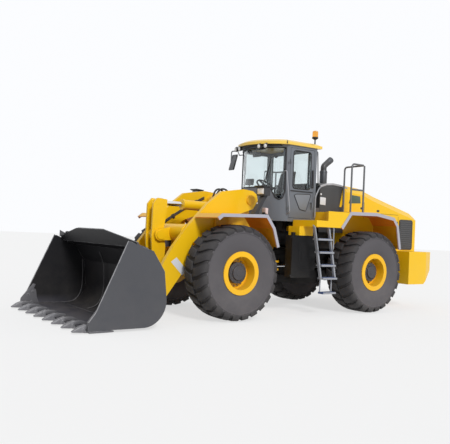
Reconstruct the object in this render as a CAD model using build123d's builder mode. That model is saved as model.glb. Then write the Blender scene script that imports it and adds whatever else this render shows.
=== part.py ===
from build123d import *
from math import cos, radians, sin
import os

os.makedirs("parts", exist_ok=True)

# Sizes are in millimetres. X runs forward to the bucket, Y to the loader's left, Z up from the floor.
# Lengths named _x are measured forward from the frame hinge, which stands halfway between the axles.

# ---- driving sizes
wheelbase = 3600
arm_to_tyre = 95
tyre_diameter = 1750
tyre_width = 670
tyre_wall = 60
rim_diameter = 787
rim_width = 600
bucket_width = 3200
bucket_plate = 30
counterweight_width = 2600
counterweight_length = 960
rear_reach = 4100
hood_width = 1500
hood_wall = 30
cab_width = 1540
cab_wall = 60
cab_floor_z = 1880
cab_top_z = 3450
frame_width = 860
frame_plate = 50
arm_outside = 720
arm_thickness = 90
fender_width = 720
sheet = 20
glass_thickness = 12
tube_radius = 19

# ---- fits and clearances
bearing_gap = 0.3
face_gap = 0.3
moving_gap = 8
pin_overhang = 12

# ---- pivots, (forward, up)
boom_pivot = (1100, 2250)
bucket_pivot = (3200, 420)
bellcrank_pivot = (2780, 1500)
link_rear = (2753, 518)
link_front = (3287, 713)
tilt_eye = (2720, 2110)
tilt_base = (930, 2080)
lift_y = 530
lift_base = (800, 850)
lift_eye = (2000, 1550)
steer_base = (-1100, 575)
steer_eye = (250, 550)
steer_z = 960
steer_fork = (62, 102)  # inner and outer face of each fork plate, from the cylinder's axis

# ---- worked out
front_reach = 4960
pivot_x = -(front_reach - rear_reach) / 2
hub_z = tyre_diameter / 2
front_axle_x = wheelbase / 2
rear_axle_x = -wheelbase / 2
frame_half = frame_width / 2
tower_outside = 440
tread = 2 * (arm_outside + arm_to_tyre) + tyre_width
arm_inside = arm_outside - arm_thickness


def side(y):
    """Upright plane along the loader, at y to the left. A sketch on it reads forward, up."""
    return Plane(origin=(pivot_x, y, 0), x_dir=(1, 0, 0), z_dir=(0, -1, 0))


def level(z):
    """Flat plane at height z. A sketch on it reads forward, left."""
    return Plane(origin=(pivot_x, 0, z), x_dir=(1, 0, 0), z_dir=(0, 0, 1))


def across(x):
    """Upright plane across the loader, at x from the hinge. A sketch on it reads left, up."""
    return Plane(origin=(pivot_x + x, 0, 0), x_dir=(0, 1, 0), z_dir=(1, 0, 0))


def side_plate(points, y_low, y_high, corner=0, mode=Mode.ADD):
    """Plate with a side outline, between two distances to the left."""
    with BuildSketch(side(y_high)) as outline:
        Polygon(*points, align=None)
        if corner:
            fillet(outline.vertices(), corner)
    extrude(outline.sketch, amount=y_high - y_low, mode=mode)


def level_plate(points, z_low, z_high, corner=0, mode=Mode.ADD):
    """Plate with a plan outline, between two heights."""
    with BuildSketch(level(z_low)) as outline:
        Polygon(*points, align=None)
        if corner:
            fillet(outline.vertices(), corner)
    extrude(outline.sketch, amount=z_high - z_low, mode=mode)


def block(x, y, z, mode=Mode.ADD):
    """Box given by its (low, high) along each way."""
    with Locations((pivot_x + x[0], y[0], z[0])):
        Box(x[1] - x[0], y[1] - y[0], z[1] - z[0], align=(Align.MIN,) * 3, mode=mode)


def cross_bar(centre, radius, y_low, y_high, mode=Mode.ADD):
    """Round bar that lies across the loader."""
    with BuildSketch(side(y_high)) as circle:
        with Locations(centre):
            Circle(radius)
    extrude(circle.sketch, amount=y_high - y_low, mode=mode)


def post(x, y, radius, z_low, z_high, mode=Mode.ADD):
    """Upright round bar."""
    with BuildSketch(level(z_low)) as circle:
        with Locations((x, y)):
            Circle(radius)
    extrude(circle.sketch, amount=z_high - z_low, mode=mode)


def round_between(start, end, radius, mode=Mode.ADD):
    """Round bar from one (x, y, z) to another, x from the hinge."""
    first = Vector(pivot_x + start[0], start[1], start[2])
    along = Vector(pivot_x + end[0], end[1], end[2]) - first
    with BuildSketch(Plane(origin=first, z_dir=along)) as circle:
        Circle(radius)
    extrude(circle.sketch, amount=along.length, mode=mode)


def bent_tube(points, bend, radius=tube_radius):
    """Round tube along straight runs joined by bends, x from the hinge."""
    corners = [(pivot_x + x, y, z) for x, y, z in points]
    with BuildLine() as path:
        FilletPolyline(*corners, radius=bend)
    with BuildSketch(Plane(origin=path.line @ 0, z_dir=path.line % 0)) as circle:
        Circle(radius)
    sweep(circle.sketch, path=path.line)


def both_sides():
    """Repeat what has been built so far on the other side of the centre plane."""
    mirror(about=Plane.XZ)


def save(piece, name):
    piece.part.label = name
    export_step(piece.part, f"parts/{name}.step")


# ---- wheels: each has a tyre and a rim with its hub
bead_radius = 330
bead_half = rim_width / 2 - 20
spindle_radius = 90
spindle_end = 60
hub_sleeve_radius = 170
hub_sleeve_end = -160
disc_faces = (40, 75)
hub_cap_steps = [(185, 190), (125, 225)]  # radius, outer face
flange_thickness = 20


def wheel_plane(axle_x, hand):
    """Plane through a wheel's axis. A sketch on it reads radius, outward from the tyre's middle."""
    return Plane(origin=(pivot_x + axle_x, hand * tread / 2, hub_z), x_dir=(0, 0, 1), z_dir=(-hand, 0, 0))


def make_tyre(axle_x, hand, name):
    plane = wheel_plane(axle_x, hand)
    outer = tyre_diameter / 2
    half = tyre_width / 2
    with BuildPart() as tyre:
        with BuildSketch(plane) as section:
            with BuildLine():
                outline = Polyline(
                    (bead_radius + face_gap, -bead_half),
                    (rim_diameter / 2, -bead_half),
                    (outer * 0.64, -half),
                    (outer - 90, -half + 15),
                    (outer, -half + 65),
                    (outer, half - 65),
                    (outer - 90, half - 15),
                    (outer * 0.64, half),
                    (rim_diameter / 2, bead_half),
                    (bead_radius + face_gap, bead_half),
                )
                Polyline(
                    outline @ 0,
                    (bead_radius + face_gap, -bead_half + tyre_wall),
                    (outer * 0.64, -half + tyre_wall),
                    (outer - 110, -half + tyre_wall + 30),
                    (outer - 110, half - tyre_wall - 30),
                    (outer * 0.64, half - tyre_wall),
                    (bead_radius + face_gap, bead_half - tyre_wall),
                    outline @ 1,
                )
            make_face()
        revolve(axis=Axis(plane.origin, (0, 1, 0)))
    save(tyre, name)


def make_rim(axle_x, hand, name):
    plane = wheel_plane(axle_x, hand)
    inner = bead_radius - 30
    lip = bead_half + face_gap
    with BuildPart() as rim:
        with BuildSketch(plane) as section:
            with BuildLine():
                Polyline(
                    (inner, -lip - flange_thickness),
                    (rim_diameter / 2, -lip - flange_thickness),
                    (rim_diameter / 2, -lip),
                    (bead_radius, -lip),
                    (bead_radius, lip),
                    (rim_diameter / 2, lip),
                    (rim_diameter / 2, lip + flange_thickness),
                    (inner, lip + flange_thickness),
                    (inner, disc_faces[1]),
                    (hub_cap_steps[0][0], disc_faces[1]),
                    (hub_cap_steps[0][0], hub_cap_steps[0][1]),
                    (hub_cap_steps[1][0], hub_cap_steps[0][1]),
                    (hub_cap_steps[1][0], hub_cap_steps[1][1]),
                    (0, hub_cap_steps[1][1]),
                    (0, spindle_end + 5),
                    (spindle_radius + bearing_gap, spindle_end + 5),
                    (spindle_radius + bearing_gap, hub_sleeve_end),
                    (hub_sleeve_radius, hub_sleeve_end),
                    (hub_sleeve_radius, disc_faces[0]),
                    (inner, disc_faces[0]),
                    close=True,
                )
            make_face()
        revolve(axis=Axis(plane.origin, (0, 1, 0)))
    save(rim, name)


for end, axle_x in (("front", front_axle_x), ("rear", rear_axle_x)):
    for hand_name, hand in (("left", 1), ("right", -1)):
        make_tyre(axle_x, hand, f"tyre_{end}_{hand_name}")
        make_rim(axle_x, hand, f"rim_{end}_{hand_name}")


# ---- axles: differential bowl, tapered tubes, brake housings and wheel spindles
axle_tube_radius = 150
brake_radius = 240
brake_inside = tread / 2 - 420
brake_outside = tread / 2 - 170
axle_pad_top = 1080
axle_pad_half = 170
bowl_radius = 300
nose_reach = 340
nose_radius = 95
shaft_z = 955
rear_shaft_z = 900


def make_axle(axle_x, nose_z, name):
    """Whole axle with its pinion nose turned to the middle of the machine."""
    centre = (axle_x, hub_z)
    hand = -1 if axle_x > 0 else 1
    with BuildPart() as axle:
        cross_bar(centre, axle_tube_radius, -brake_inside, brake_inside)
        with BuildSketch(side(0)) as bowl:
            with Locations(centre):
                Circle(bowl_radius)
        extrude(bowl.sketch, amount=170, both=True, taper=25)
        round_between((axle_x, 0, nose_z), (axle_x + hand * nose_reach, 0, nose_z), nose_radius)
        for hand in (1, -1):
            near, far = sorted((hand * brake_inside, hand * brake_outside))
            cross_bar(centre, brake_radius, near, far)
            near, far = sorted((hand * brake_outside, hand * (tread / 2 + spindle_end)))
            cross_bar(centre, spindle_radius, near, far)
            near, far = sorted((hand * (frame_half - frame_plate - 40), hand * (frame_half + 30)))
            block(
                (axle_x - axle_pad_half, axle_x + axle_pad_half),
                (near, far),
                (hub_z, axle_pad_top),
            )
    save(axle, name)


make_axle(front_axle_x, shaft_z, "front_axle")
make_axle(rear_axle_x, rear_shaft_z, "rear_axle")


# ---- frame hinge: rear lugs between front fork plates, on two upright pins
hinge_lugs = [(640, 730), (1180, 1270)]  # underside, top
fork_thickness = 60
hinge_radius = 130
hinge_pin_radius = 60
bulkhead_rear_x = -330
bulkhead_front_x = 330


def hinge_lug(root_x, root_half, z_low, thickness):
    """Lug from its bulkhead to the hinge: wide at the root, round and bored at the pin."""
    hand = 1 if root_x > 0 else -1
    edge = (hand * hinge_radius * cos(radians(60)), hinge_radius * sin(radians(60)))
    with BuildSketch(level(z_low)) as outline:
        with BuildLine():
            Polyline((edge[0], -edge[1]), (root_x, -root_half), (root_x, root_half), edge)
            ThreePointArc(edge, (-hand * hinge_radius, 0), (edge[0], -edge[1]))
        make_face()
        Circle(hinge_pin_radius + bearing_gap, mode=Mode.SUBTRACT)
    extrude(outline.sketch, amount=thickness)


rear_frame_top = 1330
cab_rail_bottom = 1390
engine_bar_x = (-1900, -2550)
engine_bar_z = 1260
engine_bar_radius = 55
shaft_hole_radius = 110
rear_frame_rear_x = -rear_reach + counterweight_length - 20
arch_half = 500

rail_outline = [
    (bulkhead_rear_x, 560),
    (bulkhead_rear_x, rear_frame_top),
    (rear_frame_rear_x, rear_frame_top),
    (rear_frame_rear_x, 700),
    (rear_axle_x - arch_half - 150, 700),
    (rear_axle_x - arch_half, axle_pad_top + face_gap),
    (rear_axle_x + arch_half, axle_pad_top + face_gap),
    (rear_axle_x + arch_half + 200, 560),
]
cab_rail_outline = [
    (-1000, rear_frame_top),
    (bulkhead_rear_x, rear_frame_top),
    (bulkhead_rear_x + 60, cab_rail_bottom),
    (250, cab_rail_bottom),
    (250, cab_floor_z - 200),
    (-1000, cab_floor_z - 200),
]
for hand, name in ((1, "rear_rail_left"), (-1, "rear_rail_right")):
    with BuildPart() as rear_rail:
        low, high = sorted((hand * (frame_half - frame_plate), hand * frame_half))
        side_plate(rail_outline, low, high)
        side_plate(cab_rail_outline, low, high)
        for x in (-600, 0):
            low, high = sorted((hand * (frame_half - 90), hand * (frame_half + 90)))
            block((x - 60, x + 60), (low, high), (cab_floor_z - 200, cab_floor_z - face_gap))
        low, high = sorted((hand * frame_half, hand * (steer_base[1] + 60)))
        for z in (steer_z - steer_fork[1], steer_z + steer_fork[0]):
            fork_top = z + steer_fork[1] - steer_fork[0]
            block((steer_base[0] - 70, steer_base[0] + 70), (low, high), (z, fork_top))
        post(steer_base[0], hand * steer_base[1], 30, steer_z - steer_fork[1], steer_z + steer_fork[1])
    save(rear_rail, name)

between_rails = frame_half - frame_plate - face_gap
with BuildPart() as rear_frame:
    block((bulkhead_rear_x - 50, bulkhead_rear_x), (-between_rails, between_rails), (560, rear_frame_top))
    round_between((-400, 0, shaft_z), (-300, 0, shaft_z), shaft_hole_radius, mode=Mode.SUBTRACT)
    for z_low, z_high in hinge_lugs:
        hinge_lug(bulkhead_rear_x, 300, z_low, z_high - z_low)
    block((rear_frame_rear_x, rear_frame_rear_x + 50), (-between_rails, between_rails), (700, rear_frame_top))
    for x in engine_bar_x:
        cross_bar((x, engine_bar_z), engine_bar_radius, -between_rails, between_rails)
save(rear_frame, "rear_frame")

with BuildPart() as hinge_pins:
    for z_low, z_high in hinge_lugs:
        post(0, 0, hinge_pin_radius, z_low - fork_thickness - 10, z_high + fork_thickness + 10)
        for z in (z_low - fork_thickness - 25, z_high + fork_thickness + 2 * bearing_gap):
            post(0, 0, hinge_pin_radius + 25, z, z + 25 - 2 * bearing_gap)
save(hinge_pins, "hinge_pins")


# ---- front frame: box over the axle, two towers for the boom
front_frame_front_x = front_axle_x + 620
front_frame_top = 1250
tie_down_radius = 30
tilt_bracket = (115, 160)  # inner and outer face of each lug

tower_outline = [
    (bulkhead_front_x, 560),
    (lift_base[0] + 150, 620),
    (front_axle_x - arch_half, axle_pad_top + face_gap),
    (front_frame_front_x, axle_pad_top + face_gap),
    (front_frame_front_x, front_frame_top),
    (boom_pivot[0] + 420, front_frame_top + 60),
    (boom_pivot[0] + 330, 1500),
    (boom_pivot[0] + 260, boom_pivot[1] - 130),
    (boom_pivot[0] + 170, boom_pivot[1] + 60),
    (boom_pivot[0] + 60, boom_pivot[1] + 150),
    (boom_pivot[0] - 70, boom_pivot[1] + 150),
    (boom_pivot[0] - 150, boom_pivot[1] + 60),
    (boom_pivot[0] - 350, 1500),
    (bulkhead_front_x, 1350),
]
tower_out = frame_half - 10
tower_in = tower_out - frame_plate
for hand, name in ((1, "front_tower_left"), (-1, "front_tower_right")):
    with BuildPart() as front_tower:
        low, high = sorted((hand * tower_in, hand * tower_out))
        side_plate(tower_outline, low, high)
        cross_bar((front_frame_front_x - 75, 1165), tie_down_radius, -500, 500, mode=Mode.SUBTRACT)
        low, high = sorted((hand * tower_out, hand * 600))
        cross_bar(lift_base, 45, low, high)
        low, high = sorted((hand * (lift_y + 60 + bearing_gap), hand * (lift_y + 80)))
        cross_bar(lift_base, 50, low, high)
        low, high = sorted((hand * (tower_in - 30), hand * (arm_outside + 10)))
        cross_bar(boom_pivot, 70, low, high)
        low, high = sorted((hand * (arm_outside + 10), hand * (arm_outside + 30)))
        cross_bar(boom_pivot, 95, low, high)
        low, high = sorted((hand * tower_out, hand * (steer_eye[1] + 55)))
        for z in (steer_z - steer_fork[1], steer_z + steer_fork[0]):
            fork_top = z + steer_fork[1] - steer_fork[0]
            block((steer_eye[0] - 60, bulkhead_front_x + 60), (low, high), (z, fork_top))
    save(front_tower, name)

between_towers = tower_in - face_gap
tower_tube = (boom_pivot[0] + 120, 1560)
tower_tube_radius = 90
with BuildPart() as front_frame:
    block((bulkhead_front_x, bulkhead_front_x + 50), (-between_towers, between_towers), (560, 1350))
    round_between((300, 0, shaft_z), (400, 0, shaft_z), shaft_hole_radius, mode=Mode.SUBTRACT)
    for z_low, z_high in hinge_lugs:
        for z in (z_low - fork_thickness - bearing_gap, z_high + bearing_gap):
            hinge_lug(bulkhead_front_x - face_gap, 320, z, fork_thickness)
    cross_bar((front_axle_x + 380, 1165), 70, -between_towers, between_towers)
    block((boom_pivot[0] - 330, boom_pivot[0] - 300), (-between_towers, between_towers), (1250, 1500))
    for hand in (1, -1):
        low, high = sorted((hand * tilt_bracket[0], hand * tilt_bracket[1]))
        side_plate(
            [
                (tilt_base[0] - 90, tilt_base[1] + 70),
                (tilt_base[0] + 90, tilt_base[1] + 70),
                (tilt_base[0] + 90, tilt_base[1] - 70),
                (tower_tube[0] + 80, tower_tube[1]),
                (boom_pivot[0] + 40, 1500),
                (tilt_base[0] - 90, tilt_base[1] - 120),
            ],
            low,
            high,
        )
    cross_bar(tilt_base, 45, -tilt_bracket[1] - 15, tilt_bracket[1] + 15)
    cross_bar(tower_tube, tower_tube_radius + face_gap, -between_towers, between_towers, mode=Mode.SUBTRACT)
    cross_bar(tower_tube, tower_tube_radius, -between_towers, between_towers)
save(front_frame, "front_frame")


# ---- drive train: plain engine block, gearbox with the rear shaft, front shaft
shaft_radius = 50
with BuildPart() as engine_block:
    block((-2750, -1640), (-340, 340), (engine_bar_z + engine_bar_radius + face_gap, 2150))
save(engine_block, "engine_block")

with BuildPart() as gearbox:
    block((-1120, -480), (-frame_half + frame_plate + face_gap, frame_half - frame_plate - face_gap),
          (640, 1230))
    round_between((-480, 0, shaft_z), (-110, 0, shaft_z), shaft_radius)
    round_between((-170, 0, shaft_z), (-50, 0, shaft_z), shaft_radius + 25)
    rear_shaft_end = rear_axle_x + nose_reach + face_gap
    round_between((-1120, 0, rear_shaft_z), (rear_shaft_end, 0, rear_shaft_z), shaft_radius)
save(gearbox, "gearbox")

with BuildPart() as front_shaft:
    round_between((110, 0, shaft_z), (front_axle_x - nose_reach - face_gap, 0, shaft_z), shaft_radius)
    round_between((50, 0, shaft_z), (170, 0, shaft_z), shaft_radius + 25)
save(front_shaft, "front_shaft")


# ---- hood, engine cover and grilles
hood_half = hood_width / 2
hood_front_x = -1510
hood_slope = [(-1690, 2750), (-2130, 2720), (-2650, 2570), (-rear_reach + 100, 2250)]
hood_rear_top = 2140
hood_shoulder = 150
cover_front_x = -760



def hood_mass(inset, bottom):
    """Hood with its chamfered shoulders as one mass, drawn in by inset all round but its bottom."""
    half = hood_half - inset
    top = [(x, z - inset) for x, z in hood_slope]
    with BuildPart() as mass:
        side_plate(
            [
                (hood_front_x - inset, bottom),
                (hood_front_x - inset, hood_slope[0][1] - inset),
                *top,
                (-rear_reach + 20 + inset, hood_rear_top - inset / 2),
                (-rear_reach + 20 + inset, bottom),
            ],
            -half,
            half,
        )
        long_edges = mass.edges().filter_by(lambda edge: abs(abs(edge.center().Y) - half) < 1)
        shoulders = [
            edge
            for edge in long_edges
            if edge.center().Z > hood_rear_top and abs(edge.tangent_at(0.5).X) > 0.9
        ]
        chamfer(shoulders, hood_shoulder)
    return mass.part


outer_hood = hood_mass(0, rear_frame_top + face_gap)
hood_space = hood_mass(hood_wall, rear_frame_top - 10)
with BuildPart() as hood:
    add(outer_hood)
    add(hood_space, mode=Mode.SUBTRACT)
save(hood, "hood")

with BuildPart() as engine_cover:
    block((hood_front_x + face_gap, cover_front_x), (-hood_half - 10, hood_half + 10), (rear_frame_top + 360, 2740))
    top_edges = engine_cover.edges().filter_by(Axis.X).group_by(Axis.Z)[-1]
    fillet(top_edges, 90)
    block((hood_front_x, cover_front_x), (-hood_half + 60, hood_half - 60), (rear_frame_top, 2640),
          mode=Mode.SUBTRACT)
    block((cover_front_x - 40, cover_front_x), (-hood_half + 50, hood_half - 50), (rear_frame_top + 360, 2660))
    for hand in (1, -1):
        low, high = sorted((hand * frame_half, hand * (frame_half - frame_plate)))
        block((hood_front_x + face_gap, -1010), (low, high), (rear_frame_top + face_gap, 2660))
save(engine_cover, "engine_cover")

grille_depth = 18
with BuildPart() as rear_grilles:
    with BuildSketch(across(-rear_reach + 20 - face_gap)) as back:
        with Locations((0, 1730)):
            RectangleRounded(1180, 680, 60)
    extrude(back.sketch, amount=-(20 - face_gap))
    with BuildSketch(side(-hood_half - face_gap)) as flank:
        with Locations((-3700, 1720)):
            RectangleRounded(500, 720, 60)
    extrude(flank.sketch, amount=grille_depth)
    with BuildSketch(side(hood_half + face_gap + grille_depth)) as flank:
        with Locations((-3700, 1720)):
            RectangleRounded(500, 720, 60)
    extrude(flank.sketch, amount=grille_depth)
save(rear_grilles, "rear_grilles")


# ---- counterweight with a tow jaw
weight_half = counterweight_width / 2
weight_front_x = rear_frame_rear_x - face_gap
jaw_z = (1080, 1160)
tow_boss_bottom = 800
tow_bore_radius = 26
tow_bore_x = -rear_reach + 90

with BuildPart() as counterweight:
    side_plate(
        [
            (weight_front_x, 580),
            (-rear_reach + 380, 580),
            (-rear_reach, 900),
            (-rear_reach, rear_frame_top),
            (weight_front_x, rear_frame_top),
        ],
        -weight_half,
        weight_half,
    )
    level_plate(
        [
            (weight_front_x, -weight_half),
            (weight_front_x, weight_half),
            (-rear_reach + 300, weight_half),
            (-rear_reach, weight_half - 110),
            (-rear_reach, -weight_half + 110),
            (-rear_reach + 300, -weight_half),
        ],
        500,
        1400,
        mode=Mode.INTERSECT,
    )
    block((-rear_reach, -rear_reach + 260), (-130, 130), (tow_boss_bottom, 1000))
    block((-rear_reach - 1, -rear_reach + 200), (-70, 70), jaw_z, mode=Mode.SUBTRACT)
    post(tow_bore_x, 0, tow_bore_radius, tow_boss_bottom - 30, jaw_z[1] + 90, mode=Mode.SUBTRACT)
save(counterweight, "counterweight")


# ---- fenders: bent sheets with a lip at the outer edge
fender_outside = hood_half + fender_width


def arch_sheet(points, y_low, y_high, depth=sheet):
    """Sheet that follows points in side view, depth below them."""
    with BuildSketch(side(y_high)) as outline:
        with BuildLine():
            top = Polyline(*points)
            lower = offset(top, amount=depth, side=Side.LEFT, closed=True)
        make_face()
    extrude(outline.sketch, amount=y_high - y_low)


rear_arch_from_axle = [(1110, 1800), (840, 2130), (20, 2150), (-560, 2075), (-710, 1900), (-820, 1390)]
rear_arch = [(rear_axle_x + x, z) for x, z in rear_arch_from_axle]
with BuildPart() as rear_fenders:
    arch_sheet(rear_arch, hood_half + 10 + face_gap, fender_outside)
    arch_sheet(rear_arch, fender_outside - 15, fender_outside + 10, depth=70)
    both_sides()
save(rear_fenders, "rear_fenders")

front_arch_from_axle = [(590, 1855), (490, 1930), (-540, 1960), (-730, 1720), (-850, 1370)]
front_arch = [(front_axle_x + x, z) for x, z in front_arch_from_axle]
strut_inside = arm_outside + 25
with BuildPart() as front_fenders:
    arch_sheet(front_arch, strut_inside, fender_outside)
    arch_sheet(front_arch, fender_outside - 15, fender_outside + 10, depth=60)
    block(
        (front_axle_x - 150, front_axle_x + 150),
        (strut_inside, strut_inside + 40),
        (hub_z + brake_radius + face_gap, 1940),
    )
    both_sides()
save(front_fenders, "front_fenders")


# ---- side platforms, ladders and tank boxes
platform_z = 1915
platform_bottom_z = 1785
beam_top_z = cab_floor_z - 200
platform_inside = cab_width / 2 + 10
platform_rear_x = rear_arch[1][0]
step_pitch = 260
step_width = 400
tank_top = 1600
tank_bottom = 750
tank_inside = 740

with BuildPart() as side_platforms:
    block((platform_rear_x, 0), (platform_inside, fender_outside), (platform_bottom_z, platform_z))
    level_plate(
        [
            (-320, fender_outside),
            (-620, 1060),
            (-620, platform_inside),
            (platform_rear_x, platform_inside),
            (platform_rear_x, fender_outside),
        ],
        platform_z,
        2110,
    )
    side_plate(
        [
            (rear_arch[0][0] + 1, rear_arch[0][1]),
            (rear_arch[1][0] + 1, rear_arch[1][1]),
            (platform_rear_x - 340, rear_arch[1][1]),
            (platform_rear_x - 340, 1700),
            (rear_arch[0][0] + 1, 1700),
        ],
        platform_inside - 1,
        fender_outside + 20,
        mode=Mode.SUBTRACT,
    )
    block((-270, 110), (platform_inside, 1100), (tank_top + face_gap, platform_bottom_z))
    for x in (-450, -200):
        block((x, x + 80), (frame_half - 50, platform_inside + 20), (beam_top_z + face_gap, platform_bottom_z))
        block((x, x + 80), (platform_inside - 20, 1100), (platform_bottom_z - 10, cab_floor_z - 10))
    both_sides()
save(side_platforms, "side_platforms")

with BuildPart() as tank_boxes:
    level_plate(
        [
            (-350, tank_inside),
            (140, tank_inside),
            (190, 1000),
            (290, 1060),
            (290, 1100),
            (-350, 1100),
        ],
        tank_bottom,
        tank_top,
    )
    fillet(tank_boxes.edges().filter_by(Axis.Y).sort_by(Axis.X)[:2], 60)
    with BuildSketch(side(1101)) as nose:
        Polygon((290, tank_bottom), (290, tank_bottom + 60), (230, tank_bottom), align=None)
        Polygon((290, tank_top), (290, tank_top - 60), (230, tank_top), align=None)
    extrude(nose.sketch, amount=400, mode=Mode.SUBTRACT)
    post(180, 1000, 45, tank_top - 5, tank_top + 60)
    both_sides()
save(tank_boxes, "tank_boxes")

ladder_top = (-210, platform_bottom_z - face_gap)
ladder_bottom = (-440, 740)
ladder_inside = fender_outside - 170
ladder_lean = (ladder_top[0] - ladder_bottom[0]) / (ladder_top[1] - ladder_bottom[1])
with BuildPart() as ladders:
    for end in (-1, 1):
        near = end * step_width / 2
        side_plate(
            [
                (ladder_bottom[0] + near - 20, ladder_bottom[1]),
                (ladder_bottom[0] + near + 20, ladder_bottom[1]),
                (ladder_top[0] + near + 20, ladder_top[1]),
                (ladder_top[0] + near - 20, ladder_top[1]),
            ],
            ladder_inside + 70,
            ladder_inside + 120,
        )
    for step in range(4):
        z = ladder_bottom[1] + step * step_pitch
        x = ladder_bottom[0] + step * step_pitch * ladder_lean
        block(
            (x - step_width / 2, x + step_width / 2),
            (ladder_inside + 10, fender_outside),
            (z, z + 35),
        )
    for end in (-1, 1):
        x = ladder_bottom[0] + end * (step_width / 2 - 40)
        block((x - 15, x + 15), (ladder_inside + 40, ladder_inside + 50), (470, 760))
    block(
        (ladder_bottom[0] - 180, ladder_bottom[0] + 180),
        (ladder_inside + 20, fender_outside),
        (450, 485),
    )
    both_sides()
save(ladders, "ladders")


# ---- cab: hollow frame with openings, roof, glass, seat, steering column
cab_half = cab_width / 2
cab_rear_x = -620
pillar_x = 150
nose_x = 520
door_rear_x = -550
door_front_x = 130
door_bottom = cab_floor_z + 70
door_top = cab_top_z - 50
window_bottom = 2520
window_top = cab_top_z - 60
front_window = [
    (205, window_top),
    (205, 2480),
    (240, 2350),
    (290, 2310),
    (340, 2350),
    (390, 2530),
    (430, 2570),
    (540, 2570),
    (540, window_top),
]


def cab_plan(z_low, z_high, grow=0, mode=Mode.ADD):
    """Upright wall solid with the cab's plan: straight sides and a bowed front."""
    with BuildSketch(level(z_low)) as plan:
        with BuildLine():
            Polyline(
                (pillar_x, cab_half), (cab_rear_x, cab_half), (cab_rear_x, -cab_half), (pillar_x, -cab_half)
            )
            ThreePointArc((pillar_x, -cab_half), (nose_x, 0), (pillar_x, cab_half))
        make_face()
        if grow:
            offset(amount=grow, kind=Kind.INTERSECTION)
    extrude(plan.sketch, amount=z_high - z_low, mode=mode)


def front_window_cut(shrink, mode):
    """Side outline of the bowed windscreen, straight across the cab."""
    with BuildSketch(side(cab_half + 50)) as outline:
        Polygon(*front_window, align=None)
        if shrink:
            offset(amount=-shrink)
    extrude(outline.sketch, amount=2 * (cab_half + 50), mode=mode)


with BuildPart() as cab_frame:
    cab_plan(cab_floor_z, cab_top_z)
    cab_plan(cab_floor_z + 60, cab_top_z + 1, grow=-cab_wall, mode=Mode.SUBTRACT)
    front_window_cut(0, Mode.SUBTRACT)
    block((door_rear_x, door_front_x), (cab_half - cab_wall - 5, cab_half + 5), (door_bottom, door_top),
          mode=Mode.SUBTRACT)
    block((door_rear_x, door_front_x), (-cab_half - 5, -cab_half + cab_wall + 5), (window_bottom, window_top),
          mode=Mode.SUBTRACT)
    block((cab_rear_x - 5, cab_rear_x + cab_wall + 5), (-cab_half + 110, cab_half - 110),
          (window_bottom, window_top), mode=Mode.SUBTRACT)
save(cab_frame, "cab_frame")

glass_inset = 24
with BuildPart() as cab_glass:
    cab_plan(2200, cab_top_z, grow=-glass_inset)
    cab_plan(2190, cab_top_z + 1, grow=-glass_inset - glass_thickness, mode=Mode.SUBTRACT)
    front_window_cut(face_gap, Mode.INTERSECT)
    block(
        (door_rear_x + face_gap, door_front_x - face_gap),
        (-cab_half + glass_inset, -cab_half + glass_inset + glass_thickness),
        (window_bottom + face_gap, window_top - face_gap),
    )
    block(
        (cab_rear_x + glass_inset, cab_rear_x + glass_inset + glass_thickness),
        (-cab_half + 110 + face_gap, cab_half - 110 - face_gap),
        (window_bottom + face_gap, window_top - face_gap),
    )
save(cab_glass, "cab_glass")

roof_thickness = 100
roof_side = cab_half + 35
roof_rear_x = cab_rear_x - 110
roof_bend_x = 230
roof_nose_x = roof_bend_x + 0.5404 * roof_side
with BuildPart() as cab_roof:
    with BuildSketch(level(cab_top_z + face_gap)) as plan:
        with BuildLine():
            Polyline((roof_bend_x, roof_side), (roof_rear_x, roof_side), (roof_rear_x, -roof_side),
                     (roof_bend_x, -roof_side))
            ThreePointArc((roof_bend_x, -roof_side), (roof_nose_x, 0), (roof_bend_x, roof_side))
        make_face()
    extrude(amount=roof_thickness)
    chamfer(cab_roof.faces().sort_by(Axis.Z)[-1].edges(), 45, 90)
save(cab_roof, "cab_roof")

hinge_axis = (126, cab_half + 16)
knuckle_radius = 13
knuckle_heights = (2160, 3100)
with BuildPart() as cab_door:
    block((door_rear_x + moving_gap, door_front_x - moving_gap), (cab_half - cab_wall, cab_half),
          (door_bottom + moving_gap, door_top - moving_gap))
    with BuildSketch(side(cab_half + 5)) as window:
        with Locations((-205, (window_top - 40 + 2560) / 2)):
            RectangleRounded(500, window_top - 40 - 2560, 70)
    extrude(window.sketch, amount=cab_wall + 10, mode=Mode.SUBTRACT)
    for z in knuckle_heights:
        block((60, hinge_axis[0]), (cab_half - 1, cab_half + 6), (z, z + 60))
        post(*hinge_axis, knuckle_radius, z, z + 60)
        post(*hinge_axis, 6 + bearing_gap, z, z + 60, mode=Mode.SUBTRACT)
    block((-500, -470), (cab_half - 1, cab_half + 60), (2280, 2300))
    block((-500, -470), (cab_half + 40, cab_half + 60), (2180, 2300))
save(cab_door, "cab_door")

with BuildPart() as door_glass:
    with BuildSketch(side(cab_half - glass_inset)) as window:
        with Locations((-205, (window_top - 40 + 2560) / 2)):
            RectangleRounded(500 - 2 * face_gap, window_top - 40 - 2560 - 2 * face_gap, 70 - face_gap)
    extrude(window.sketch, amount=glass_thickness)
save(door_glass, "door_glass")

with BuildPart() as door_hinges:
    for z in knuckle_heights:
        post(*hinge_axis, 6, z - 30, z + 60)
        post(*hinge_axis, knuckle_radius, z - 32, z - face_gap)
        block((hinge_axis[0], 190), (cab_half + face_gap, cab_half + 8), (z - 32, z - face_gap))
save(door_hinges, "door_hinges")

with BuildPart() as cab_seat:
    floor = cab_floor_z + 60 + face_gap
    block((-380, -60), (-180, 180), (floor, 2360))
    block((-440, 40), (-250, 250), (2360, 2480))
    side_plate([(-440, 2400), (-330, 2400), (-430, 3000), (-540, 3000)], -235, 235)
    side_plate([(-530, 3000), (-450, 3000), (-470, 3230), (-540, 3230)], -130, 130)
save(cab_seat, "cab_seat")

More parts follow.
